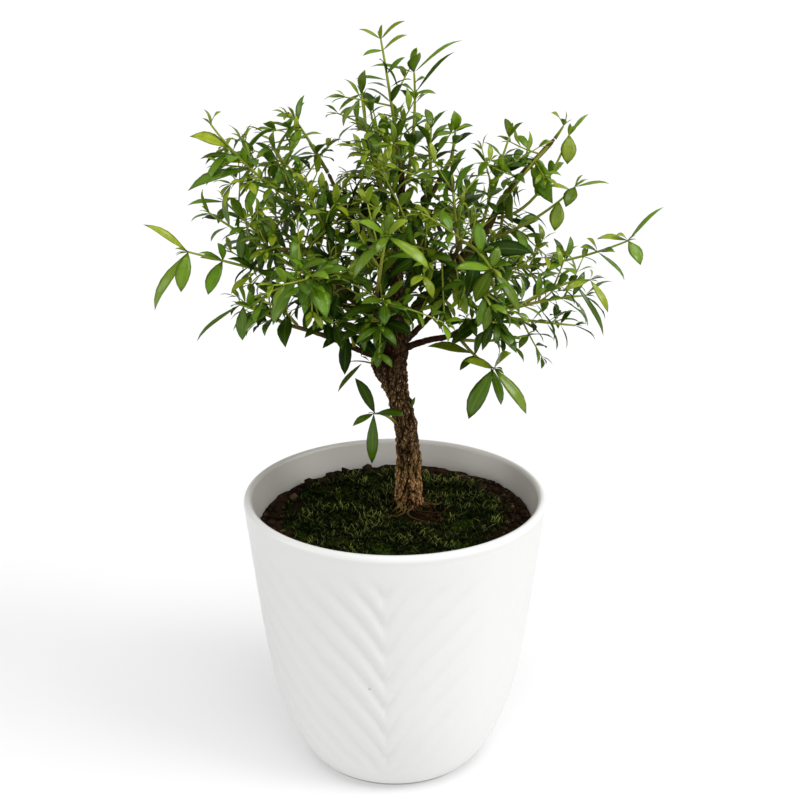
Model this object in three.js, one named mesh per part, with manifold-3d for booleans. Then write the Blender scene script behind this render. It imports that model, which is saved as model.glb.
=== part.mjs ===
// A serissa bonsai in a round white ceramic pot: a crooked trunk with bark, bare limbs, and some fifty
// leafy shoots of opposite pointed leaves, standing in soil under a cushion of moss.
// Millimetres, +Z up, the origin at the centre of the pot's flat base, and the front towards -Y.
import * as THREE from "three";
import { mergeVertices } from "three/addons/utils/BufferGeometryUtils.js";
import Module from "manifold-3d";

const wasm = await Module();
wasm.setup();

// Driving dimensions
const POT_HEIGHT = 142.5;
const RIM_RADIUS = 75;
const LIP_THICKNESS = 4.2;
const LIP_DEPTH = 2.8;
const WALL_THICKNESS = 5.2;
const WALL_TOP = POT_HEIGHT - 4;
const WALL_TOP_RADIUS = RIM_RADIUS - 0.3;
const WALL_TAPER = 15.8;
const FOOT_TUCK = 15.5;
const FLOOR_THICKNESS = 7;
const FOOT_RADIUS = 40;
const POT_COLUMNS = 32;
const POT_TURN = -3.5;
const SPINES = 2;
const RELIEF_LOW = 10;
const RELIEF_HIGH = POT_HEIGHT - 10;
const RELIEF_FADE = 14;
const RELIEF_DEPTH = 1.2;
const FIRST_GROOVE = 9.4;
const RIB_PITCH = 15.9;
const RIB_SLOPE = 0.955;
const RIB_HOOK = 12.15;
const RIB_HOOK_REACH = 9.65;

const SOIL_TOP = 126;
const SOIL_RIM_RISE = 3;
const MOSS_RADIUS = 59;
const MOSS_HEIGHT = 5.2;
const MOSS_COLUMNS = 20;
const GAP = 0.35;

const TRUNK_SIDES = 8;
const HOLE_SIDES = 16;
const HOLE_RADII = [7.1, 9.9];
const LIMB_SIDES = 5;
const BURIED = 28;
const TRUNK_X = 7;
const TRUNK_Y = 10;

const STEM_SIDES = 3;
const STEM_STEPS = 4;
const STEM_RADIUS = 1.05;
const STEM_TIP_RADIUS = 0.85;
const BLADE_THICKNESS = 0.7;
const BLADE_LENGTHS = 3;
const SIDEWAYS = 0.33;
const ARCH = 0.12;
const RULED_END = 0.985;
const SET_FROM = 0.7;
const LEAF_CLEARANCE = 1.5;
const STEM_CLEARANCE = 0.8;
const RULED_SHOOTS = 26;
const SHORTEST_STEM = 26;
const LOWEST_START = 214;
const START_SPACING = 5;
const RULED_BOW = 3;
const RULED_LEAVES = [17, 22];
const SEED = 20871;
const [DRAW_REACH, DRAW_LEAVES, DRAW_BLADE] = [1, 2, 7];

const DEGREE = Math.PI / 180;
const clamp = (x, low, high) => Math.min(high, Math.max(low, x));
const smooth = (x) => clamp(x, 0, 1) ** 2 * (3 - 2 * clamp(x, 0, 1));
const mix = (a, b, t) => a + (b - a) * t;
const point = (x, y, z) => new THREE.Vector3(x, y, z);

// A repeatable number from 0 to 1 for a few whole numbers
function chance(...keys) {
  let hash = SEED;
  for (const key of keys) hash = Math.imul(hash ^ key, 16777619) >>> 0;
  hash = Math.imul(hash ^ (hash >>> 15), 2246822519) >>> 0;
  hash = Math.imul(hash ^ (hash >>> 13), 3266489917) >>> 0;
  return ((hash ^ (hash >>> 16)) >>> 0) / 4294967296;
}

// A closed geometry as a solid: only its positions count, and faces that collapsed are dropped
function solid(geometry) {
  geometry.deleteAttribute("normal");
  geometry.deleteAttribute("uv");
  const merged = mergeVertices(geometry, 1e-4);
  const index = [...merged.index.array];
  const kept = [];
  for (let i = 0; i < index.length; i += 3) {
    const [a, b, c] = index.slice(i, i + 3);
    if (a !== b && b !== c && c !== a) kept.push(a, b, c);
  }
  const vertProperties = merged.attributes.position.array;
  return new wasm.Manifold(new wasm.Mesh({ numProp: 3, vertProperties, triVerts: new Uint32Array(kept) }));
}

function mesh(name, body, material) {
  const { numProp, vertProperties, triVerts } = body.getMesh();
  const geometry = new THREE.BufferGeometry();
  geometry.setAttribute("position", new THREE.BufferAttribute(vertProperties, numProp));
  geometry.setIndex(new THREE.BufferAttribute(triVerts, 1));
  geometry.computeVertexNormals();
  const made = new THREE.Mesh(geometry, material);
  made.name = name;
  return made;
}

function finish(color, roughness) {
  return new THREE.MeshStandardMaterial({ color, roughness, metalness: 0 });
}

// A solid turned about Z. Each row gives the radius and height at an angle, from the axis round to the axis.
function turned(rows, columns, turn = 0) {
  const profile = rows.map((row, number) => new THREE.Vector2(1, number));
  const geometry = new THREE.LatheGeometry(profile, columns).rotateX(Math.PI / 2);
  const place = geometry.attributes.position;
  for (let i = 0; i < place.count; i++) {
    const angle = Math.atan2(place.getY(i), place.getX(i));
    const [radius, z] = rows[Math.round(place.getZ(i))](angle);
    const about = angle + turn * DEGREE;
    place.setXYZ(i, radius * Math.cos(about), radius * Math.sin(about), z);
  }
  return solid(geometry);
}

// A right-handed set of directions round a curve's direction, steady along the whole curve
function framing(curve) {
  const chord = curve.getPoint(1).sub(curve.getPoint(0));
  const steep = Math.abs(chord.z) > Math.hypot(chord.x, chord.y);
  const reference = steep ? point(1, 0, 0) : point(0, 0, 1);
  return (t) => {
    const [before, after] = [Math.max(0, t - 0.01), Math.min(1, t + 0.01)];
    const along = curve.getPoint(after).sub(curve.getPoint(before)).normalize();
    const side = point(0, 0, 0).crossVectors(along, reference).normalize();
    const over = point(0, 0, 0).crossVectors(side, along);
    return { along, side, over };
  };
}

// A round stem along a curve: a capped cylinder whose rings are moved onto it
function tube(curve, radiusAt, sides, steps) {
  const geometry = new THREE.CylinderGeometry(1, 1, 1, sides, steps);
  const frameAt = framing(curve);
  const place = geometry.attributes.position;
  for (let i = 0; i < place.count; i++) {
    const t = place.getY(i) + 0.5;
    const [across, over] = [place.getX(i), place.getZ(i)];
    const frame = frameAt(t);
    const radius = radiusAt(t, Math.atan2(across, over));
    const moved = curve.getPoint(t);
    moved.addScaledVector(frame.side, across * radius).addScaledVector(frame.over, over * radius);
    place.setXYZ(i, moved.x, moved.y, moved.z);
  }
  return solid(geometry);
}

// Pot
function wallRadius(z) {
  const below = Math.max(0, 1 - z / WALL_TOP);
  return WALL_TOP_RADIUS - WALL_TAPER * below ** 1.05 - FOOT_TUCK * below ** 6;
}

// How far above a spine's own foot a rib has climbed, at an angle round the pot
function ribRise(angle) {
  const panel = (2 * Math.PI) / SPINES;
  const fromSpine = Math.abs(angle + Math.PI / 2 - panel * Math.round((angle + Math.PI / 2) / panel));
  const arc = fromSpine * wallRadius(WALL_TOP / 2);
  return RIB_SLOPE * arc + RIB_HOOK * (1 - Math.exp(-arc / RIB_HOOK_REACH));
}

function reliefRows() {
  const lowest = FIRST_GROOVE - RIB_PITCH * Math.ceil(ribRise(0) / RIB_PITCH);
  const step = RIB_PITCH / 2;
  const rows = [];
  for (let row = 0; row * step < RELIEF_HIGH - lowest + 2 * step; row++)
    rows.push((angle) => {
      const z = clamp(lowest + row * step + ribRise(angle), RELIEF_LOW, RELIEF_HIGH);
      const fade = smooth((z - RELIEF_LOW) / RELIEF_FADE) * smooth((RELIEF_HIGH - z) / RELIEF_FADE);
      return [wallRadius(z) - (row % 2 ? 0 : RELIEF_DEPTH) * fade, z];
    });
  return rows;
}

function pot() {
  const inner = RIM_RADIUS - LIP_THICKNESS;
  const lip = (share, drop) => () => [mix(inner, RIM_RADIUS, share), POT_HEIGHT - drop];
  const inside = (z) => () => [wallRadius(z) - WALL_THICKNESS, z];
  const rows = [
    () => [0, 0],
    () => [FOOT_RADIUS, 0],
    () => [wallRadius(2.5), 2.5],
    () => [wallRadius(RELIEF_LOW), RELIEF_LOW],
    ...reliefRows(),
    () => [wallRadius(RELIEF_HIGH), RELIEF_HIGH],
    () => [WALL_TOP_RADIUS, WALL_TOP],
    lip(1, LIP_DEPTH),
    lip(0.86, 0.8),
    lip(0.5, 0),
    lip(0.14, 0.8),
    lip(0, LIP_DEPTH),
    inside(WALL_TOP - 4),
    inside(SOIL_TOP - 1),
    inside(80),
    inside(36),
    inside(16),
    () => [wallRadius(FLOOR_THICKNESS) - 2 * WALL_THICKNESS, FLOOR_THICKNESS],
    () => [0, FLOOR_THICKNESS],
  ];
  return turned(rows, POT_COLUMNS, POT_TURN);
}

// Soil and moss
function lumps(angle, ...waves) {
  return waves.reduce((sum, [turns, phase], i) => sum + Math.cos(turns * angle + phase) / (i + 1.5), 0);
}

function soil() {
  const packed = (z) => () => [wallRadius(z) - WALL_THICKNESS - GAP, z];
  const crumbs = (angle) => SOIL_TOP + SOIL_RIM_RISE * Math.abs(lumps(angle, [3, 0.4], [7, 1.1], [11, 2.3]));
  return turned(
    [
      () => [0, FLOOR_THICKNESS],
      () => [wallRadius(FLOOR_THICKNESS) - 2 * WALL_THICKNESS - GAP, FLOOR_THICKNESS],
      packed(16),
      packed(36),
      packed(80),
      packed(SOIL_TOP - 1),
      (angle) => [wallRadius(SOIL_TOP) - WALL_THICKNESS - 2.4, crumbs(angle)],
      () => [MOSS_RADIUS + 4, SOIL_TOP],
      () => [0, SOIL_TOP],
    ],
    POT_COLUMNS,
    POT_TURN,
  );
}

function moss() {
  const edge = (angle) => MOSS_RADIUS + 2 * lumps(angle, [2, 1.3], [5, 0.2], [9, 2.9]);
  const tuft = (share, angle) => lumps(angle, [4, 9 * share], [7, 5 * share], [3, 14 * share]);
  const mound = (share, height) => (angle) => [
    edge(angle) * share,
    SOIL_TOP + height + 0.8 * tuft(share, angle) * (share > 0 ? 1 : 0),
  ];
  return turned(
    [
      () => [0, SOIL_TOP],
      (angle) => [edge(angle), SOIL_TOP],
      mound(0.96, MOSS_HEIGHT * 0.45),
      mound(0.8, MOSS_HEIGHT * 0.75),
      mound(0.55, MOSS_HEIGHT * 0.9),
      mound(0.3, MOSS_HEIGHT),
      mound(0, MOSS_HEIGHT),
    ],
    MOSS_COLUMNS,
  );
}

// Trunk: places on the centreline, each with the radius there
const TRUNK = [
  [TRUNK_X, TRUNK_Y, SOIL_TOP - BURIED, 6.4],
  [TRUNK_X, TRUNK_Y, SOIL_TOP, 8.4],
  [TRUNK_X, 9.6, SOIL_TOP + 10, 7.2],
  [7.5, 9, 153, 6.3],
  [6, 8, 166, 5.7],
  [4, 7, 181, 5.3],
  [1.5, 6, 192, 5.9],
  [-1.5, 4, 205, 7.6],
  [-2, 3, 214, 9],
  [-0.5, 3, 224, 7.6],
  [2, 4, 236, 4.2],
  [1, 6, 254, 2.8],
  [4, 8, 276, 2],
  [3, 8, 300, 1.4],
];
// Limbs: the radius at the root and at the tip, and the stops of the centreline
const LIMBS = {
  right: [3.5, 1.4, [0, 3, 222], [12, 5, 237], [22, 8, 247], [40, 11, 263], [52, 18, 288], [75, 20, 313]],
  left: [3.5, 1.4, [-3, 2, 217], [-11, 1, 232], [-21, 0, 243], [-37, -2, 251], [-50, -9, 266]],
  low_right: [2.2, 1.1, [3, 2, 215], [14, -1, 221], [28, -5, 224], [42, -16, 238], [60, -18, 244]],
  low_left: [2.2, 1.1, [-4, 3, 210], [-16, -3, 216], [-32, -10, 226], [-50, -16, 233]],
  front: [2.7, 1.1, [-2, 0, 221], [-5, -15, 233], [-9, -32, 246], [-7, -52, 259]],
  front_right: [2.1, 1.1, [14, 5, 239], [21, -10, 253], [27, -26, 267], [29, -40, 277]],
  front_left: [2.1, 1.1, [-13, 1, 234], [-25, -16, 243], [-36, -31, 250], [-40, -42, 257]],
  back: [2.7, 1.1, [0, 5, 224], [2, 20, 238], [0, 37, 254], [-4, 56, 268]],
  back_right: [2.1, 1.1, [22, 8, 247], [33, 24, 257], [43, 40, 266], [54, 55, 274]],
  back_left: [2.1, 1.1, [-20, 0, 242], [-31, 14, 251], [-43, 29, 258], [-56, 44, 264]],
  low_back: [2.2, 1.1, [2, 5, 216], [13, 20, 222], [24, 36, 230], [34, 52, 238]],
  low_back_left: [2.1, 1.1, [-4, 6, 216], [-16, 21, 223], [-28, 36, 231], [-40, 50, 238]],
  top_left: [1.9, 1.1, [2, 5, 240], [-9, 9, 262], [-22, 12, 280], [-31, 13, 298]],
  top_right: [1.8, 1.1, [2, 7, 262], [12, 11, 278], [19, 11, 292], [26, 10, 304]],
};

// Bark stands out in uneven ribs above the soil, and the buried part is plain, for its hole
function bark(z, angle) {
  const ribs = 0.07 * Math.cos(3 * angle + 0.11 * z) + 0.04 * Math.cos(4 * angle - 0.25 * z);
  return 1 + smooth((z - SOIL_TOP - 6) / 6) * ribs;
}

// A tension of 0 keeps each length between two stops straight, so a limb's own faces follow its line exactly
function limb(stops, radii, sides, relief = () => 1) {
  const places = stops.map(([x, y, z]) => point(x, y, z));
  const curve = new THREE.CatmullRomCurve3(places, false, "catmullrom", 0);
  const steps = stops.length - 1;
  const radius = (t, angle = 0) => {
    const stop = Math.min(steps - 1, Math.floor(t * steps));
    const plain = mix(radii[stop], radii[stop + 1], t * steps - stop);
    return plain * relief(curve.getPoint(t).z, angle);
  };
  return { curve, radius, sides, steps };
}

const trunkRadii = TRUNK.map(([x, y, z, radius]) => radius);
const limbLines = { leader: limb(TRUNK, trunkRadii, TRUNK_SIDES, bark) };
for (const [name, [thick, thin, ...stops]] of Object.entries(LIMBS)) {
  const radii = stops.map((stop, i) => mix(thick, thin, i / (stops.length - 1)));
  limbLines[name] = limb(stops, radii, LIMB_SIDES);
}

function trunk() {
  const [leader, ...limbs] = Object.values(limbLines);
  const wood = ({ curve, radius, sides, steps }) => tube(curve, radius, sides, steps);
  return limbs.reduce((body, line) => body.add(wood(line)), wood(leader));
}

// The hole that the trunk's foot stands in: a plain cone through the moss and into the soil
function trunkHole() {
  const [bottom, top] = [SOIL_TOP - BURIED - GAP, SOIL_TOP + 2 * MOSS_HEIGHT];
  const hole = new THREE.CylinderGeometry(HOLE_RADII[1], HOLE_RADII[0], top - bottom, HOLE_SIDES);
  hole.rotateX(Math.PI / 2).translate(TRUNK_X, TRUNK_Y, (bottom + top) / 2);
  return solid(hole);
}

// The longest and plainest shoots, set by hand: the limb, the place along it, the tip, the upward bow,
// the leaf length, the number of leaf pairs, and the share of the stem that is bare below them
const SHOWN_SHOOTS = {
  crown_tip: ["leader", 1, [-6, 5, 359], 0, 15, 3, 0.25],
  crown_second: ["leader", 0.975, [9, 12, 344], 2, 17, 2, 0.3],
  crown_left: ["leader", 0.9, [-15, 8, 335], 3, 16, 3, 0.35],
  high_left: ["top_left", 1, [-46, 13, 323], 1, 14, 1, 0.3],
  left_upper: ["top_left", 0.72, [-55, 0, 311], -2, 16, 1, 0.45],
  crown_inner: ["leader", 0.95, [-11, 18, 326], 2, 17, 2, 0.3],
  left_high: ["top_left", 0.62, [-81, -14, 324], -14, 18, 3, 0.25],
  left_long: ["left", 0.76, [-93, -20, 268], 4, 18, 2, 0.2],
  left_low: ["low_left", 1, [-70, -26, 245], 2, 15, 3, 0.25],
  left_droop: ["low_left", 0.45, [-22, -20, 231], 4, 18, 1, 0.5],
  trunk_sprig: ["leader", 0.365, [-10, -10, 187], 3, 22, 0, 0.72],
  right_long: ["right", 0.5, [108, -5, 270], -3, 15, 3, 0.3],
  right_reach: ["low_right", 1, [89, -20, 255], 5, 16, 2, 0.25],
  right_hang: ["low_right", 0.56, [45, -36, 218], -2, 22, 0, 0.5],
  right_high: ["right", 0.71, [81, 13, 316], -17, 17, 2, 0.3],
  right_round: ["right", 0.655, [83, 0, 294], -4, 17, 1, 0.3],
  right_mid: ["top_right", 1, [28, 9, 318], 0, 16, 1, 0.5],
  stub_buds: ["right", 1, [79, 20, 319], 0, 12, 0, 0.5],
  right_inner: ["right", 0.63, [53, 8, 316], -1, 17, 3, 0.25],
  right_under: ["low_right", 0.8, [86, 0, 228], 1, 16, 3, 0.3],
  right_wisp: ["low_right", 0.5, [62, -10, 226], -2, 14, 1, 0.5],
  front_star: ["front", 1, [-3, -66, 285], 3, 20, 2, 0.5],
  front_right_star: ["front_right", 1, [41, -62, 270], 3, 20, 1, 0.5],
  front_low_star: ["front", 0.6, [-4, -60, 256], 2, 18, 1, 0.4],
  left_mid: ["left", 0.93, [-78, 0, 287], -2, 18, 2, 0.35],
  left_front: ["front_left", 1, [-41, -55, 267], 1, 18, 1, 0.35],
};

// Leaves that show singly: the place on the stem, the tip, and the width
const SET_LEAVES = {
  crown_tip: [
    [1, 5, 1, 367, 2.7], [0.9, 6, 2, 361, 2.7], [1, -16, 8, 363, 2], [0.9, -14, 2, 352, 2.7],
    [0.7, -7, -3, 351, 3.1], [0.7, 5, 9, 351, 2.7], [0.65, -18, 10, 341, 2],
  ],
  crown_second: [
    [1, 11, 2, 353, 7.7], [1, 31, 14, 358, 2], [0.8, 28, 16, 353, 2], [0.8, 3, 6, 339, 3.7],
    [1, -11, 17, 346, 2], [0.8, 19, 7, 335, 2.8], [0.9, 14, 8, 342, 3.2],
  ],
  crown_left: [[1, -13, 4, 346, 4.5], [1, -25, 2, 328, 2.3], [0.9, -25, 3, 326, 2.7]],
  high_left: [[1, -41, 11, 331, 2.8], [1, -54, 7, 325, 3.7], [0.65, -60, 15, 321, 2]],
  left_upper: [[1, -54, -5, 320, 3.6], [1, -62, -7, 308, 4.1], [1, -45, -6, 311, 3.2]],
  left_high: [
    [0.85, -90, -18, 319, 7.1], [0.8, -72, -23, 308, 7.1], [1, -75, -20, 330, 3.1],
    [0.85, -84, -15, 297, 4.1], [0.8, -86, -17, 309, 2.7], [0.7, -92, -18, 295, 6.3],
  ],
  left_long: [
    [1, -112, -23, 281, 4.1], [1, -110, -18, 240, 5.6], [1, -96, -27, 251, 7.3],
    [0.7, -85, -20, 248, 6.9], [0.55, -69, -10, 277, 4.6], [0.7, -79, -24, 273, 4.5],
    [0.7, -88, -23, 268, 2.7],
  ],
  left_low: [
    [0.9, -69, -29, 229, 6], [1, -90, -28, 228, 2.3], [1, -72, -32, 253, 3.6],
    [0.7, -65, -31, 253, 4.1],
  ],
  left_droop: [[1, -23, -24, 211, 6.1], [1, -33, -25, 224, 4.6]],
  trunk_sprig: [
    [0.95, -19, -7, 204, 5.8], [1, -20, -17, 183, 3.8], [1, -11, -12, 162, 5.8],
    [0.9, 5, -16, 188, 4.8],
  ],
  right_long: [
    [1, 113, -12, 260, 6.5], [1, 123, -7, 286, 2.3], [1, 92, -12, 272, 3.7], [1, 101, -12, 274, 3.7],
    [0.8, 101, -12, 266, 4.2], [0.8, 85, -11, 268, 3.7], [0.8, 88, -9, 272, 3.7],
    [0.8, 108, -1, 250, 2.4], [0.6, 74, 1, 270, 2.8], [0.6, 69, -9, 255, 3.7],
  ],
  right_reach: [
    [1, 76, -26, 251, 4.1], [1, 97, -25, 241, 3.7], [1, 88, -24, 261, 2.7], [0.7, 96, -22, 229, 2.8],
  ],
  right_hang: [
    [0.4, 15, -22, 224, 5.1], [0.45, 42, -29, 234, 5], [0.45, 30, -27, 214, 3.7],
    [1, 31, -41, 223, 5.4], [1, 34, -37, 194, 8.3], [0.9, 49, -32, 199, 4.6], [1, 60, -39, 197, 6],
    [1, 52, -45, 228, 6.3],
  ],
  right_high: [[1, 80, 8, 303, 7.5], [1, 90, 16, 325, 2]],
  right_round: [
    [1, 78, -8, 286, 6.4], [0.8, 74, -3, 274, 7], [0.95, 70, -6, 295, 3.2], [1, 99, 2, 295, 2],
  ],
  right_mid: [[1, 27, 4, 328, 6], [1, 36, 4, 321, 3.7], [0.95, 18, 3, 316, 3.2]],
  stub_buds: [[1, 72, 12, 326, 4.6], [1, 78, 14, 323, 2.8]],
  front_star: [
    [1, 15, -70, 271, 5.5], [1, -17, -69, 267, 5.1], [1, -7, -74, 279, 4.6], [1, -15, -73, 292, 5.4],
    [1, 6, -69, 292, 5], [1, -1, -62, 294, 4.6],
  ],
  front_right_star: [
    [1, 25, -67, 271, 5.5], [1, 34, -68, 257, 7.3], [1, 53, -64, 251, 5.2], [0.65, 35, -51, 288, 5.6],
    [0.65, 42, -61, 279, 3.4], [1, 44, -59, 279, 4.7],
  ],
  front_low_star: [
    [0.75, -4, -61, 245, 5.6], [0.7, 6, -60, 251, 3.9], [1, 5, -57, 264, 3.9], [1, -14, -67, 256, 4.7],
  ],
  left_mid: [[1, -95, -4, 286, 2.8], [0.95, -81, -6, 278, 4.6]],
  left_front: [[0.8, -52, -57, 244, 6.6], [1, -27, -61, 273, 4.7], [1, -50, -61, 263, 3.9]],
};

// The crown that the other shoots fill: a wide bowl with a flat top and round shoulders, sown evenly and
// in turn on three shells
const CROWN = { centre: point(0, 2, 248), across: 90, deep: 80, up: 76, down: 32, squareness: 3 };
const SHELLS = [1, 0.62, 0.84];

function crownTip(number) {
  const lift = 1 - (1.5 * (number + 0.5)) / RULED_SHOOTS;
  const round = number * 137.508 * DEGREE + 0.6;
  const level = Math.sqrt(Math.max(0, 1 - lift * lift));
  const bulge = (level ** CROWN.squareness + Math.abs(lift) ** CROWN.squareness) ** (-1 / CROWN.squareness);
  const reach = bulge * SHELLS[number % SHELLS.length] * mix(0.84, 1, chance(DRAW_REACH, number));
  return point(
    CROWN.centre.x + CROWN.across * level * Math.cos(round) * reach,
    CROWN.centre.y + CROWN.deep * level * Math.sin(round) * reach,
    CROWN.centre.z + (lift > 0 ? CROWN.up : CROWN.down) * lift * reach,
  );
}

// Everything that a new stem or leaf has to stay clear of: places, how thick it is there, and whose it is
const taken = [];

function clearOf(places, thick, margin, owner) {
  return places.every((place) =>
    taken.every((other) => {
      if (other.owner === owner) return true;
      const reach = thick + other.thick + margin;
      return place.distanceToSquared(other.place) > reach * reach;
    }),
  );
}

function take(places, thick, owner) {
  places.forEach((place) => taken.push({ place, thick, owner }));
}

function spread(curve, count, from = 0) {
  return Array.from({ length: count }, (_, i) => curve.getPoint(mix(from, 1, i / (count - 1))));
}

for (const [name, line] of Object.entries(limbLines))
  for (let i = 0; i <= 40; i++) take([line.curve.getPoint(i / 40)], line.radius(i / 40), name);

// How far a limb's flat faces lie from its line, in a direction square to it
function faceDistance(line, t, out) {
  const { side, over } = framing(line.curve)(t);
  const angle = Math.atan2(out.dot(side), out.dot(over));
  const facet = (2 * Math.PI) / line.sides;
  const fromMiddle = angle - facet * (Math.floor(angle / facet) + 0.5);
  return (line.radius(t, angle) * Math.cos(facet / 2)) / Math.cos(fromMiddle);
}

// A stem starts on the limb's surface, square to it, and bows on its way to the tip
function stemFrom(limbName, t, tip, bow) {
  const line = limbLines[limbName];
  const heart = line.curve.getPoint(t);
  const { along } = framing(line.curve)(t);
  const towards = tip.clone().sub(heart);
  const length = towards.length();
  const out = t < 1 ? towards.clone().addScaledVector(along, -towards.dot(along)).normalize() : along;
  const middle = heart.clone().lerp(tip, 0.5).add(point(0, 0, bow)).addScaledVector(out, 0.1 * length);
  const slant = Math.abs(middle.clone().sub(heart).normalize().dot(along));
  const start = t < 1 ? faceDistance(line, t, out) + STEM_RADIUS * slant : 0;
  const base = heart.addScaledVector(out, start + GAP);
  return new THREE.QuadraticBezierCurve3(base, middle, tip);
}

const shoots = [];

function addShoot(name, limbName, t, tip, bow, leafLength, pairs, bare) {
  const curve = stemFrom(limbName, t, tip, bow);
  const habit = { leafLength, pairs, bare, ruledEnd: RULED_END };
  shoots.push({ name, curve, ...habit, number: shoots.length, leaves: [] });
  take(spread(curve, 24), STEM_RADIUS, name);
}

for (const [name, [limbName, t, tip, ...habit]] of Object.entries(SHOWN_SHOOTS))
  addShoot(name, limbName, t, point(...tip), ...habit);

// Leaves. Each has its root, its own three directions, a length and a width, and is drawn in to a point
// at both ends and arched. Where leaves are set by hand, the ruled pairs end sooner on the stem.
const SHOWN_SKY = point(0, -0.6, 0.8);

function leafFrom(root, along, sky, length, width) {
  const up = sky.clone().addScaledVector(along, -sky.dot(along)).normalize();
  return { root, along, up, across: point(0, 0, 0).crossVectors(up, along), length, width };
}

function leafPlace(leaf, t, side) {
  const { root, along, across, up, length, width } = leaf;
  const half = side * Math.sin(Math.PI * t) * width * 0.5;
  const arch = Math.sin(Math.PI * t * 0.8) * length * ARCH;
  return root
    .clone()
    .addScaledVector(along, t ** 0.9 * length)
    .addScaledVector(across, half)
    .addScaledVector(up, arch);
}

function leafSamples(leaf) {
  const rows = [0.2, 0.33, 0.46, 0.6, 0.73, 0.87];
  const across = rows.flatMap((t) => [-0.95, 0, 0.95].map((side) => leafPlace(leaf, t, side)));
  return [...across, leafPlace(leaf, 1, 0)];
}

function addLeaf(shoot, leaf) {
  take(leafSamples(leaf), BLADE_THICKNESS / 2, `${shoot.name} leaf`);
  shoot.leaves.push(leaf);
}

function leafIsClear(shoot, leaf) {
  return clearOf(leafSamples(leaf), BLADE_THICKNESS / 2, LEAF_CLEARANCE, shoot.name);
}

// A set leaf turns its face to the front and the sky
function setLeaf(shoot, [t, x, y, z, width]) {
  const root = shoot.curve.getPoint(t);
  const reach = point(x, y, z).sub(root);
  return leafFrom(root, reach.clone().normalize(), SHOWN_SKY, reach.length(), width);
}

for (const shoot of shoots) {
  const set = (SET_LEAVES[shoot.name] ?? []).map((row) => setLeaf(shoot, row));
  set.filter((leaf) => leafIsClear(shoot, leaf)).forEach((leaf) => addLeaf(shoot, leaf));
  if (set.length > 0) shoot.ruledEnd = SET_FROM;
}

// A ruled shoot takes the nearest place on a limb from which its stem runs clear
function placesFor(tip) {
  const starts = [];
  for (const [limbName, line] of Object.entries(limbLines))
    for (let i = 5; i <= 19; i++) {
      const from = line.curve.getPoint(i / 20);
      const away = from.distanceTo(tip);
      if (from.z > LOWEST_START && away > SHORTEST_STEM) starts.push({ limbName, t: i / 20, away });
    }
  return starts.sort((a, b) => a.away - b.away).slice(0, 14);
}

for (let number = 0; number < RULED_SHOOTS; number++) {
  const tip = crownTip(number);
  const start = placesFor(tip).find(({ limbName, t }) => {
    const stem = stemFrom(limbName, t, tip, RULED_BOW);
    const apart = shoots.every((other) => other.curve.v0.distanceTo(stem.v0) > START_SPACING);
    return apart && clearOf(spread(stem, 20, 0.12), STEM_RADIUS, STEM_CLEARANCE, "");
  });
  if (!start) continue;
  const pairs = Math.round(clamp(start.away / 14, 3, 4));
  const leafLength = mix(...RULED_LEAVES, chance(DRAW_LEAVES, number));
  addShoot(`shoot_${number + 1}`, start.limbName, start.t, tip, RULED_BOW, leafLength, pairs, 0.3);
}

// A blade is a thin box of three lengths
function blade(leaf) {
  const box = new THREE.BoxGeometry(2, BLADE_THICKNESS, 1, 1, 1, BLADE_LENGTHS);
  const place = box.attributes.position;
  for (let i = 0; i < place.count; i++) {
    const moved = leafPlace(leaf, place.getZ(i) + 0.5, place.getX(i));
    moved.addScaledVector(leaf.up, place.getY(i));
    place.setXYZ(i, moved.x, moved.y, moved.z);
  }
  return solid(box);
}

// One leaf of a pair. Each further attempt turns it round the stem and makes it a little shorter.
const TURNS = [0, 20, -20, 40, -40, 60, -60, 80];

function leafOn(shoot, pair, hand, attempt) {
  const { curve, leafLength, pairs, bare, number } = shoot;
  const draw = (which) => chance(DRAW_BLADE, number, pair, hand, which);
  const share = pairs > 1 ? pair / (pairs - 1) : 0;
  const t = mix(bare, shoot.ruledEnd, share);
  const frame = framing(curve)(t);
  const turn = (number * 47 + pair * 90 + hand * 180 + (draw(1) - 0.5) * 36 + TURNS[attempt]) * DEGREE;
  const opening = (mix(66, 42, share) + (draw(2) - 0.5) * 22) * DEGREE;
  const outward = frame.side.clone().multiplyScalar(Math.cos(turn));
  outward.addScaledVector(frame.over, Math.sin(turn));
  const droop = 0.12 + 0.42 * (1 - Math.abs(frame.along.z));
  const along = outward.multiplyScalar(Math.sin(opening)).addScaledVector(frame.along, Math.cos(opening));
  along.z -= droop;
  along.normalize();
  const length = leafLength * mix(0.8, 1.15, draw(3)) * mix(1.08, 0.72, share ** 2) * (1 - 0.03 * attempt);
  const width = length * SIDEWAYS * mix(0.85, 1.2, draw(4));
  const sky = frame.along.clone().multiplyScalar(0.7).add(point(0, 0, 0.8));
  return leafFrom(curve.getPoint(t), along, sky, length, width);
}

function addRuledLeaves(shoot) {
  for (let pair = 0; pair < shoot.pairs; pair++)
    for (let hand = 0; hand < 2; hand++)
      for (let attempt = 0; attempt < TURNS.length; attempt++) {
        const leaf = leafOn(shoot, pair, hand, attempt);
        if (!leafIsClear(shoot, leaf)) continue;
        addLeaf(shoot, leaf);
        break;
      }
}

shoots.forEach(addRuledLeaves);

function spray(shoot) {
  const radius = (t) => mix(STEM_RADIUS, STEM_TIP_RADIUS, t);
  let body = tube(shoot.curve, radius, STEM_SIDES, STEM_STEPS);
  for (const leaf of shoot.leaves) body = body.add(blade(leaf));
  return body;
}

const ceramic = finish("#eeeeec", 0.45);
const earth = finish("#2a2019", 0.95);
const mossGreen = finish("#3a4a1c", 0.95);
const barkBrown = finish("#6b4f38", 0.9);
const leafGreen = finish("#3f6b22", 0.5);

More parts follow.
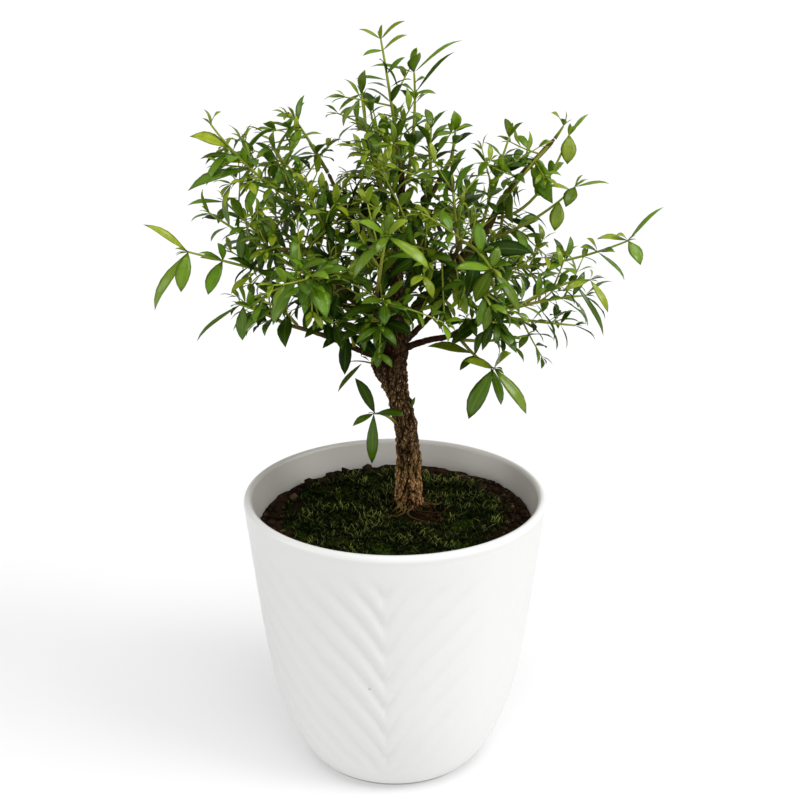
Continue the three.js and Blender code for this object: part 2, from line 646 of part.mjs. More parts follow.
const bonsai = new THREE.Group();
const hole = trunkHole();
bonsai.add(mesh("pot", pot(), ceramic));
bonsai.add(mesh("soil", soil().subtract(hole), earth));
bonsai.add(mesh("moss", moss().subtract(hole), mossGreen));
bonsai.add(mesh("trunk", trunk(), barkBrown));
for (const shoot of shoots) bonsai.add(mesh(shoot.name, spray(shoot), leafGreen));
export default bonsai;
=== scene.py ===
# %% [markdown]
# # A serissa bonsai in a round white pot
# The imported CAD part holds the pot, the soil, the moss, the trunk with its limbs, and some fifty leafy
# shoots. This lesson dresses it: fine glaze and bark, soft moss, and leaves with a fold and a midrib.
# Everything is in metres, in the part's own frame: +Z is up and the front looks towards -Y.
# %% Load the frame
import math
import bmesh
import bpy
import numpy as np
from mathutils import Matrix, Vector, noise


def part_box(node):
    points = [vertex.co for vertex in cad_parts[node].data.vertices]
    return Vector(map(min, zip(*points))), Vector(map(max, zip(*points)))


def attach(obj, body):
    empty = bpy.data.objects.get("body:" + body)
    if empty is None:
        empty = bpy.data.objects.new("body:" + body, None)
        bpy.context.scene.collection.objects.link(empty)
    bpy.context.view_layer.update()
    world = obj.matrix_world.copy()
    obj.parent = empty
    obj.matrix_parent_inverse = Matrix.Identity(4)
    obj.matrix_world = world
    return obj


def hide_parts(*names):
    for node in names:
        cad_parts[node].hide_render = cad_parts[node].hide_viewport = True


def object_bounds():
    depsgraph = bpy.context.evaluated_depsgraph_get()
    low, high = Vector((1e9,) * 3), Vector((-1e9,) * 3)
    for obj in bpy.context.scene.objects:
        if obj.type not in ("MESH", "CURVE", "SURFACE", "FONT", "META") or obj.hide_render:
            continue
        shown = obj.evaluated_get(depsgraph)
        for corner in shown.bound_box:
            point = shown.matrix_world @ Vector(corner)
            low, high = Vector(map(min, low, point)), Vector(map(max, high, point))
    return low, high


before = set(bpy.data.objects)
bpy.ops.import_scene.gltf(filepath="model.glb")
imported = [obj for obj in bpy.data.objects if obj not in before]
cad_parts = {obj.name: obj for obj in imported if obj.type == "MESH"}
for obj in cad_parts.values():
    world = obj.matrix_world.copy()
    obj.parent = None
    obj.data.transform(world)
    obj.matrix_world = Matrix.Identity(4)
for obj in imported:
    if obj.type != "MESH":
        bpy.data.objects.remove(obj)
cad_box = [list(corner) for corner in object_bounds()]
MM = 0.001
print("CAD nodes:", len(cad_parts))

# %% [markdown]
# ## Small sums that many cells use
# A plant is easiest to describe in millimetres, so the lines that it grows along are kept in them, and a
# point is turned into metres only when it becomes a vertex. Every random draw comes from a few whole
# numbers, so the plant grows the same way each time.
# %% Sums and draws
SEED = 20871
GOLDEN_ANGLE = math.radians(137.508)


def clamp(x, low=0, high=1):
    return min(high, max(low, x))


def smooth(x):
    x = clamp(x)
    return x * x * (3 - 2 * x)


def mix(a, b, share):
    return a + (b - a) * share


def unit(vector):
    return vector / np.linalg.norm(vector)


def chance(*keys):
    """A repeatable number from 0 to 1 for a few whole numbers."""
    bits = SEED
    for key in keys:
        bits = (bits ^ key) * 16777619 & 0xFFFFFFFF
    bits = (bits ^ bits >> 15) * 2246822519 & 0xFFFFFFFF
    bits = (bits ^ bits >> 13) * 3266489917 & 0xFFFFFFFF
    return (bits ^ bits >> 16) / 4294967296


def draws(first, count, number):
    """Draws for one thing of many, each with a key of its own."""
    return [chance(first + step, number) for step in range(count)]


print("first draw:", round(chance(1, 2), 4))

# %% [markdown]
# ## The camera, the light and the floor
# The photo was taken with a normal lens from a little above the plant. The camera's place was found by
# fitting the rim and the foot of a 150 mm pot, so it is given here as a place, a pitch and a lens.
# %% Camera
CAMERA_PLACE = (0.00257, -0.58166, 0.3917)
CAMERA_PITCH = 70.91
LENS = 56.99


def linked(name, data):
    """A new object in the scene."""
    made = bpy.data.objects.new(name, data)
    bpy.context.scene.collection.objects.link(made)
    return made


camera = linked("camera", bpy.data.cameras.new("camera"))
camera.data.lens = LENS
camera.data.sensor_width = 36
camera.data.clip_start = 0.01
camera.location = CAMERA_PLACE
camera.rotation_euler = (math.radians(CAMERA_PITCH), 0, 0)
bpy.context.scene.camera = camera
print("camera at", CAMERA_PLACE)

# %% [markdown]
# The studio is white all round. A soft sun from the right lights the pot across the left-hand ribs and along
# the right-hand ones, so only the left ones show well. A high one gives the rim and the leaves their shine,
# and weak, wide, low ones fill in from the right, the left and the front. A sun lights the floor evenly as
# far as it can be seen, which a lamp near the plant would not.
# %% Studio light
STUDIO_WHITE = 0.42
# The heading from +X towards +Y, the height above the floor and the spread, in degrees, and the power
SUNS = {
    "key_sun": (-25, 42, 24, 1.46),
    "top_sun": (-70, 72, 30, 1.3),
    "right_sun": (-5, 20, 40, 0.65),
    "left_sun": (-165, 8, 30, 0.75),
    "front_sun": (-85, 25, 60, 0.62),
}

for name, (heading, height, spread, power) in SUNS.items():
    sun = linked(name, bpy.data.lights.new(name, "SUN"))
    sun.data.energy = power
    sun.data.angle = math.radians(spread)
    sun.rotation_euler = (math.radians(90 - height), 0, math.radians(90 + heading))
world = bpy.data.worlds.new("studio")
world.use_nodes = True
world.node_tree.nodes["Background"].inputs["Color"].default_value = (1, 1, 1, 1)
world.node_tree.nodes["Background"].inputs["Strength"].default_value = STUDIO_WHITE
bpy.context.scene.world = world
bpy.context.scene.view_settings.view_transform = "Standard"
print("suns:", len(SUNS))

# %% [markdown]
# ## Shader maths in plain Python
# A finish is a small tree of nodes. Wrapping a socket in a class with Python's own operators lets a mask be
# written as a sum, such as 1 - crack * 0.5, and each sum adds its Math node. Every other node comes from
# one method, which takes its type, its settings and the values or links of its sockets.
# %% Values and finishes


class Value:
    """A number socket of a finish that works in Python sums."""

    def __init__(self, finish, socket):
        self.finish = finish
        self.socket = socket

    def maths(self, operation, *values):
        return self.finish.node("Math", {"operation": operation}, dict(enumerate(values)))

    def __add__(self, other):
        return self.maths("ADD", self, other)

    def __sub__(self, other):
        return self.maths("SUBTRACT", self, other)

    def __rsub__(self, other):
        return self.maths("SUBTRACT", other, self)

    def __mul__(self, other):
        return self.maths("MULTIPLY", self, other)

    def __abs__(self):
        return self.maths("ABSOLUTE", self)


def socket_of(sockets, key):
    """A socket by its place among the others, its identifier or its name."""
    return sockets[key] if isinstance(key, int) else next(s for s in sockets if key in (s.identifier, s.name))


class Finish:
    """A material that is built from one Principled shader and what feeds it. Its colour grows in layers."""

    def __init__(self, name, **constants):
        self.material = bpy.data.materials.new(name)
        self.material.use_nodes = True
        self.tree = self.material.node_tree
        self.shader = self.tree.nodes["Principled BSDF"]
        self.feed(**constants)

    def connect(self, socket, value):
        if isinstance(value, Value):
            self.tree.links.new(value.socket, socket)
        else:
            socket.default_value = (*value, 1) if socket.type == "RGBA" else value

    def node(self, kind, settings, sockets, output=0):
        made = self.tree.nodes.new("ShaderNode" + kind)
        for key, value in settings.items():
            setattr(made, key, value)
        for key, value in sockets.items():
            self.connect(socket_of(made.inputs, key), value)
        return Value(self, socket_of(made.outputs, output))

    def feed(self, **sockets):
        for socket, value in sockets.items():
            self.connect(self.shader.inputs[socket.replace("_", " ")], value)

    def place(self):
        return self.node("TexCoord", {}, {}, "Object")

    def height(self):
        return self.node("SeparateXYZ", {}, {"Vector": self.place()}, "Z")

    def attribute(self, name):
        return self.node("Attribute", {"attribute_name": name}, {}, "Fac")

    def grain(self, scale, detail=3, rough=0.55, stretch=(1, 1, 1)):
        """Cloudy noise on the piece's own place, with its repeats per metre."""
        vector = self.node("Mapping", {}, {"Vector": self.place(), "Scale": stretch})
        sockets = {"Vector": vector, "Scale": scale, "Detail": detail, "Roughness": rough}
        return self.node("TexNoise", {}, sockets)

    def step(self, value, low, high):
        """0 below low, 1 above high, and smooth between."""
        sockets = {"Value": value, "From Min": low, "From Max": high}
        return self.node("MapRange", {"interpolation_type": "SMOOTHSTEP"}, sockets)

    def blend(self, share, a, b):
        sockets = {"Factor_Float": share, "A_Color": a, "B_Color": b}
        return self.node("Mix", {"data_type": "RGBA"}, sockets, "Result_Color")

    def paint(self, share, colour):
        """Lays a colour over what the finish has so far, where the share is 1."""
        self.colour = self.blend(share, self.colour, colour)

    def bump(self, height, strength, distance):
        sockets = {"Height": height, "Strength": strength, "Distance": distance}
        self.feed(Normal=self.node("Bump", {}, sockets))


print("finishes are ready to be mixed")

# %% [markdown]
# ## From a bmesh to a piece
# A piece is one object at the origin with its place in its mesh, as a CAD node is. It rides on the part's one
# body, and stands for the CAD nodes that it is the finer form of. Numbers on its vertices, in layers, tell
# its finish where it is cracked, young or bare.
# %% Pieces


def meshed(name, shape, *finishes):
    """A mesh from a bmesh, which is freed."""
    mesh = bpy.data.meshes.new(name)
    shape.to_mesh(mesh)
    shape.free()
    for finish in finishes:
        mesh.materials.append(finish.material)
    return mesh


def piece(name, shape, finish, slot, *stands_for, flat=False):
    """A bmesh becomes a piece of the part."""
    bmesh.ops.recalc_face_normals(shape, faces=shape.faces[:])
    mesh = meshed(name, shape, finish)
    if not flat:
        mesh.shade_smooth()
    made = linked(name, mesh)
    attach(made, "root")
    if stands_for:
        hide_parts(*stands_for)
    mesh.calc_loop_triangles()
    print(name, "has", len(mesh.loop_triangles), "triangles")


def add_layers(shape, *names):
    for name in names:
        shape.verts.layers.float.new(name)
    return [shape.verts.layers.float[name] for name in names]


def mark(vert, layers, *values):
    for layer, value in zip(layers, values):
        vert[layer] = value


def spun(profile, columns):
    """A closed body of revolution from a profile of radius and height, in a new bmesh."""
    shape = bmesh.new()
    line = [shape.verts.new((radius * MM, 0, z * MM)) for radius, z in profile]
    for lower, upper in zip(line, line[1:]):
        shape.edges.new((lower, upper))
    turned = {"cent": (0, 0, 0), "axis": (0, 0, 1), "angle": 2 * math.pi, "steps": columns, "use_merge": True}
    bmesh.ops.spin(shape, geom=shape.verts[:] + shape.edges[:], **turned)
    bmesh.ops.remove_doubles(shape, verts=shape.verts[:], dist=0.01 * MM)
    return shape


print("pieces can be made")

# %% [markdown]
# The floor is a light table: it shines a little by itself, so the pot's shadow on it stays faint.
# %% Floor
FLOOR_SIZE = 30
FLOOR_WHITE = (0.42, 0.42, 0.42)
FLOOR_GLOW = 0.47

glow = {"Emission_Color": (1, 1, 1), "Emission_Strength": FLOOR_GLOW}
floor_finish = Finish("studio_floor", Base_Color=FLOOR_WHITE, Roughness=0.9, **glow)
shape = bmesh.new()
bmesh.ops.create_grid(shape, x_segments=1, y_segments=1, size=FLOOR_SIZE / 2)
floor = linked("floor", meshed("floor", shape, floor_finish))
print("floor is", FLOOR_SIZE, "m wide")

# %% [markdown]
# ## The pot
# The real pot is cast and glazed: a tapering wall, a plain rounded lip, and soft ribs that climb from two
# spines like the barbs of a feather. The ribs could be a bump in the material, but they show on the outline,
# so they are modelled. A profile is spun round the axis, and each vertex of the wall is then moved in by
# the depth of the groove there.
# %% Pot sizes
POT_HEIGHT = 142.5
RIM_RADIUS = 75
LIP_THICKNESS = 4.2
LIP_CURVE = 2.9
WALL_THICKNESS = 5.2
WALL_TOP = POT_HEIGHT - 4
WALL_TOP_RADIUS = RIM_RADIUS - 0.3
WALL_TAPER = 15.8
FOOT_TUCK = 15.5
FLOOR_THICKNESS = 7
FOOT_RADIUS = 40
POT_TURN = math.radians(-3.5)
SPINES = 2
RELIEF_LOW = 10
RELIEF_HIGH = POT_HEIGHT - 10
RELIEF_FADE = 14
RELIEF_DEPTH = 1.1
FIRST_GROOVE = 9.4
RIB_PITCH = 15.9
RIB_SLOPE = 0.955
RIB_HOOK = 12.15
RIB_HOOK_REACH = 9.65


def wall_radius(z):
    below = max(0, 1 - z / WALL_TOP)
    return WALL_TOP_RADIUS - WALL_TAPER * below**1.05 - FOOT_TUCK * below**6


def groove(z, angle):
    """How deep the wall is carved, from 0 on a rib to 1 in the groove under it."""
    panel = 2 * math.pi / SPINES
    turn = angle + math.pi / 2
    arc = (turn - panel * round(turn / panel)) * wall_radius(WALL_TOP / 2)
    rise = RIB_SLOPE * abs(arc) + RIB_HOOK * (1 - math.exp(-abs(arc) / RIB_HOOK_REACH))
    wander = 0.05 * noise.noise(Vector((angle * 9, z / 9, 2)))
    share = ((z - FIRST_GROOVE - rise) / RIB_PITCH + wander) % 1
    edge = smooth((z - RELIEF_LOW) / RELIEF_FADE) * smooth((RELIEF_HIGH - z) / RELIEF_FADE)
    worn = 1 - 0.4 * smooth((abs(arc) - 24) / 26) - 0.5 * smooth(arc / 8)
    return (1 - math.sin(math.pi * share**0.8) ** 1.1) * edge * worn


print("radius at the foot:", round(wall_radius(RELIEF_LOW), 1), "mm")

# %% Pot profile and spin
POT_COLUMNS = 288
WALL_ROWS = 104
LIP_STEPS = 12


def pot_profile():
    """Radius and height from the axis under the foot, up the wall, over the lip and down to the floor."""
    foot = [(0, 0.6), (FOOT_RADIUS - 6, 0.6), (FOOT_RADIUS - 4, 0), (FOOT_RADIUS - 0.5, 0)]
    foot += [(FOOT_RADIUS + 0.3, 0.7), (wall_radius(1.2) - 1.2, 0.8), (wall_radius(1.2), 1.6)]
    heights = [mix(2.8, WALL_TOP, row / WALL_ROWS) for row in range(WALL_ROWS + 1)]
    wall = [(wall_radius(z), z) for z in heights]
    half = LIP_THICKNESS / 2
    turns = [math.pi * step / LIP_STEPS for step in range(LIP_STEPS + 1)]
    low = POT_HEIGHT - LIP_CURVE
    lip = [(RIM_RADIUS - half + half * math.cos(turn), low + LIP_CURVE * math.sin(turn)) for turn in turns]
    inside = [(wall_radius(z) - WALL_THICKNESS, z) for z in (WALL_TOP - 3, 125, 116, 80, 36, 16)]
    corner = wall_radius(FLOOR_THICKNESS) - 2 * WALL_THICKNESS
    return foot + wall + lip + inside + [(corner, FLOOR_THICKNESS), (0, FLOOR_THICKNESS)]


shape = spun(pot_profile(), POT_COLUMNS)
groove_layer, inside_layer = add_layers(shape, "groove", "inside")
for vert in shape.verts:
    radius, z = math.hypot(vert.co.x, vert.co.y) / MM, vert.co.z / MM
    if z > FLOOR_THICKNESS - 1 and radius < wall_radius(z) - LIP_THICKNESS / 2:
        vert[inside_layer] = 1
    if RELIEF_LOW < z < RELIEF_HIGH and radius > wall_radius(z) - 0.1:
        vert[groove_layer] = groove(z, math.atan2(vert.co.y, vert.co.x))
        vert.co.xy *= 1 - RELIEF_DEPTH * vert[groove_layer] / radius
bmesh.ops.rotate(shape, verts=shape.verts[:], matrix=Matrix.Rotation(POT_TURN, 3, "Z"))
print("pot:", len(shape.faces), "faces")

# %% [markdown]
# The glaze is a satin white, a touch thinner and warmer in the grooves. Its inside is painted darker and
# warmer as shade, and a thin near-black ring at the very foot is a painted shadow where the pot meets the
# floor. It has a faint ripple, and one pinhole near the front spine.
# %% Glaze
PINHOLE = (-0.0117, -0.0650, 0.0695)

glaze = Finish("white_glaze", Coat_Weight=0.12, Coat_Roughness=0.25)
glaze.colour = glaze.blend(glaze.grain(28, 2), (0.665, 0.665, 0.655), (0.685, 0.685, 0.68))
glaze.paint(glaze.attribute("groove") * 0.5, (0.65, 0.65, 0.635))
# Painted shade: the inside of the pot is coloured darker and warmer than the outside glaze.
glaze.paint(glaze.attribute("inside"), (0.565, 0.54, 0.50))
# Painted shadow: a thin near-black ring round the very foot, where the pot stands on the floor.
glaze.paint(1 - glaze.step(glaze.height(), 0.0028, 0.0036), (0.09, 0.085, 0.08))
away = glaze.node("VectorMath", {"operation": "DISTANCE"}, {0: glaze.place(), 1: PINHOLE}, "Value")
glaze.paint(1 - glaze.step(away, 0.0002, 0.0009), (0.42, 0.41, 0.40))
glaze.feed(Base_Color=glaze.colour, Roughness=glaze.grain(160, 2) * 0.12 + 0.3)
glaze.bump(glaze.grain(240, 2), 0.12, 0.0004)
piece("glazed_pot", shape, glaze, "ceramic", "pot")

# %% [markdown]
# ## The lines of the wood
# The trunk and each limb follow a few stops with straight lengths between them. The shoots start on these
# lines, so they are worked out before anything that grows on them.
# %% Trunk and limb lines
SOIL_TOP = 126
BURIED = 28
TRUNK_X = 7
TRUNK_Y = 10
TRUNK_SIDES = 8
LIMB_SIDES = 5

# A place and a radius at each stop
TRUNK = [
    [TRUNK_X, TRUNK_Y, SOIL_TOP - BURIED, 6.4],
    [TRUNK_X, TRUNK_Y, SOIL_TOP, 8.4],
    [TRUNK_X, 9.6, SOIL_TOP + 10, 7.2],
    [7.5, 9, 153, 6.3],
    [6, 8, 166, 5.7],
    [4, 7, 181, 5.3],
    [1.5, 6, 192, 5.9],
    [-1.5, 4, 205, 7.6],
    [-2, 3, 214, 9],
    [-0.5, 3, 224, 7.6],
    [2, 4, 236, 4.2],
    [1, 6, 254, 2.8],
    [4, 8, 276, 2],
    [3, 8, 300, 1.4],
]
# The radius at each end, and then the stops
LIMBS = {
    "right": [3.5, 1.4, (0, 3, 222), (12, 5, 237), (22, 8, 247), (40, 11, 263), (52, 18, 288), (75, 20, 313)],
    "left": [3.5, 1.4, (-3, 2, 217), (-11, 1, 232), (-21, 0, 243), (-37, -2, 251), (-50, -9, 266)],
    "low_right": [2.2, 1.1, (3, 2, 215), (14, -1, 221), (28, -5, 224), (42, -16, 238), (60, -18, 244)],
    "low_left": [2.2, 1.1, (-4, 3, 210), (-16, -3, 216), (-32, -10, 226), (-50, -16, 233)],
    "front": [2.7, 1.1, (-2, 0, 221), (-5, -15, 233), (-9, -32, 246), (-7, -52, 259)],
    "front_right": [2.1, 1.1, (14, 5, 239), (21, -10, 253), (27, -26, 267), (29, -40, 277)],
    "front_left": [2.1, 1.1, (-13, 1, 234), (-25, -16, 243), (-36, -31, 250), (-40, -42, 257)],
    "back": [2.7, 1.1, (0, 5, 224), (2, 20, 238), (0, 37, 254), (-4, 56, 268)],
    "back_right": [2.1, 1.1, (22, 8, 247), (33, 24, 257), (43, 40, 266), (54, 55, 274)],
    "back_left": [2.1, 1.1, (-20, 0, 242), (-31, 14, 251), (-43, 29, 258), (-56, 44, 264)],
    "low_back": [2.2, 1.1, (2, 5, 216), (13, 20, 222), (24, 36, 230), (34, 52, 238)],
    "low_back_left": [2.1, 1.1, (-4, 6, 216), (-16, 21, 223), (-28, 36, 231), (-40, 50, 238)],
    "top_left": [1.9, 1.1, (2, 5, 240), (-9, 9, 262), (-22, 12, 280), (-31, 13, 298)],
    "top_right": [1.8, 1.1, (2, 7, 262), (12, 11, 278), (19, 11, 292), (26, 10, 304)],
}


def bark_ribs(z, angle):
    ribs = 0.07 * math.cos(3 * angle + 0.11 * z) + 0.04 * math.cos(4 * angle - 0.25 * z)
    return 1 + smooth((z - SOIL_TOP - 6) / 6) * ribs


class Wood:
    """A trunk or limb: straight lengths between stops, with a radius at each."""

    def __init__(self, stops, radii, sides, relief=None):
        self.stops = np.array(stops, float)
        self.radii = radii
        self.sides = sides
        self.relief = relief
        self.steps = len(stops) - 1

    def at(self, t):
        stop = min(self.steps - 1, int(t * self.steps))
        return mix(self.stops[stop], self.stops[stop + 1], smooth(t * self.steps - stop))

    def radius(self, t, angle=0.0):
        stop = min(self.steps - 1, int(t * self.steps))
        plain = mix(self.radii[stop], self.radii[stop + 1], t * self.steps - stop)
        return plain * (self.relief(self.at(t)[2], angle) if self.relief else 1)


class Bow:
    """A young stem: a quadratic curve from its base to its tip."""

    def __init__(self, base, middle, tip):
        self.base, self.middle, self.tip = base, middle, tip

    def at(self, t):
        rest = 1 - t
        return rest * rest * self.base + 2 * rest * t * self.middle + t * t * self.tip


wood = {"leader": Wood([row[:3] for row in TRUNK], [row[3] for row in TRUNK], TRUNK_SIDES, bark_ribs)}
for name, (thick, thin, *stops) in LIMBS.items():
    wood[name] = Wood(stops, np.linspace(thick, thin, len(stops)), LIMB_SIDES)
print("limbs:", len(LIMBS))

# %% Directions round a line
UP = np.array([0.0, 0.0, 1.0])
RIGHT = np.array([1.0, 0.0, 0.0])


def cross(a, b):
    return np.array([a[1] * b[2] - a[2] * b[1], a[2] * b[0] - a[0] * b[2], a[0] * b[1] - a[1] * b[0]])


def directions(line, t):
    """A right-handed set of directions along and across a line, steady from end to end."""
    chord = line.at(1) - line.at(0)
    reference = RIGHT if abs(chord[2]) > math.hypot(chord[0], chord[1]) else UP
    along = unit(line.at(min(1, t + 0.01)) - line.at(max(0, t - 0.01)))
    side = unit(cross(along, reference))
    return along, side, cross(side, along)


def around(line, t, turn):
    """The direction along a line, and the one out from it at a turn round it."""
    along, side, over = directions(line, t)
    return along, side * math.cos(turn) + over * math.sin(turn)


def spread(line, count, start=0.0):
    return np.array([line.at(mix(start, 1, i / (count - 1))) for i in range(count)])


print("trunk leans", np.round(directions(wood["leader"], 0.4)[0], 2))

# %% [markdown]
# ## How the shoots grow
# A shoot starts on a limb's surface, square to it, and bows on its way to its tip. The longest are listed one
# by one from what the photo shows, with the leaves that can be told apart on the outline and at the front.
# The others are sown evenly over a wide bowl with a flat top. Each keeps clear of what grew before it. The
# rule is the one that the CAD part was grown by, so the fine leaves that follow lie where the plain CAD
# blades lie.
# %% Places that are taken
MOST_PLACES = 200000


class Taken:
    """The places that are taken: each with its reach and its owner."""

    def __init__(self):
        self.places = np.empty((MOST_PLACES, 3))
        self.reach = np.empty(MOST_PLACES)
        self.owner = np.empty(MOST_PLACES, int)
        self.count = 0
        self.names = {}

    def take(self, places, reach, owner):
        end = self.count + len(places)
        self.places[self.count : end] = places
        self.reach[self.count : end] = reach
        self.owner[self.count : end] = self.names.setdefault(owner, len(self.names))
        self.count = end

    def clear(self, places, reach, margin, owner=""):
        """True if nobody else's place is nearer than the two reaches and a margin."""
        low = places.min(0) - reach - margin - 10
        high = places.max(0) + reach + margin + 10
        known = self.places[: self.count]
        near = np.all((known > low) & (known < high), axis=1)
        near &= self.owner[: self.count] != self.names.get(owner, -1)
        apart = ((places[:, None] - known[near][None]) ** 2).sum(2)
        least = reach + self.reach[: self.count][near] + margin
        return bool((apart > least * least).all())


taken = Taken()
for name, line in wood.items():
    for i in range(41):
        taken.take([line.at(i / 40)], line.radius(i / 40), name)
print("places taken by the wood:", taken.count)

# %% A leaf's own shape
SIDEWAYS = 0.33
ARCH = 0.12
SHOWN_SKY = np.array([0, -0.6, 0.8])
SAMPLE_ROWS = (0.2, 0.33, 0.46, 0.6, 0.73, 0.87)
SAMPLE_T = np.array([t for t in SAMPLE_ROWS for _ in range(3)] + [1.0])[:, None]
SAMPLE_SIDE = np.array([side for _ in SAMPLE_ROWS for side in (-0.95, 0, 0.95)] + [0.0])[:, None]


class Leaf:
    """A leaf with its own three directions, its face turned to the sky, and places along its blade."""

    def __init__(self, root, along, sky, length, width, share=0, young=None):
        self.root, self.along = root, along
        self.length, self.width = length, width
        self.share, self.young = share, young
        self.up = unit(sky - along * (sky @ along))
        self.across = cross(self.up, along)
        half = SAMPLE_SIDE * np.sin(np.pi * SAMPLE_T) * width * 0.5
        arch = np.sin(np.pi * SAMPLE_T * 0.8) * length * ARCH
        self.places = root + along * SAMPLE_T**0.9 * length + self.across * half + self.up * arch


def leaf_to(root, tip, width, **habit):
    """A leaf from its root to its tip, turned to the front and the sky."""
    reach = np.array(tip, float) - root
    return Leaf(root, unit(reach), SHOWN_SKY, np.linalg.norm(reach), width, **habit)


print("places on a leaf:", len(SAMPLE_T))

# %% Shown shoots and leaves
BLADE_THICKNESS = 0.7
STEM_RADIUS = 1.05
GAP = 0.35
LEAF_CLEARANCE = 1.5
SET_FROM = 0.7
RULED_END = 0.985

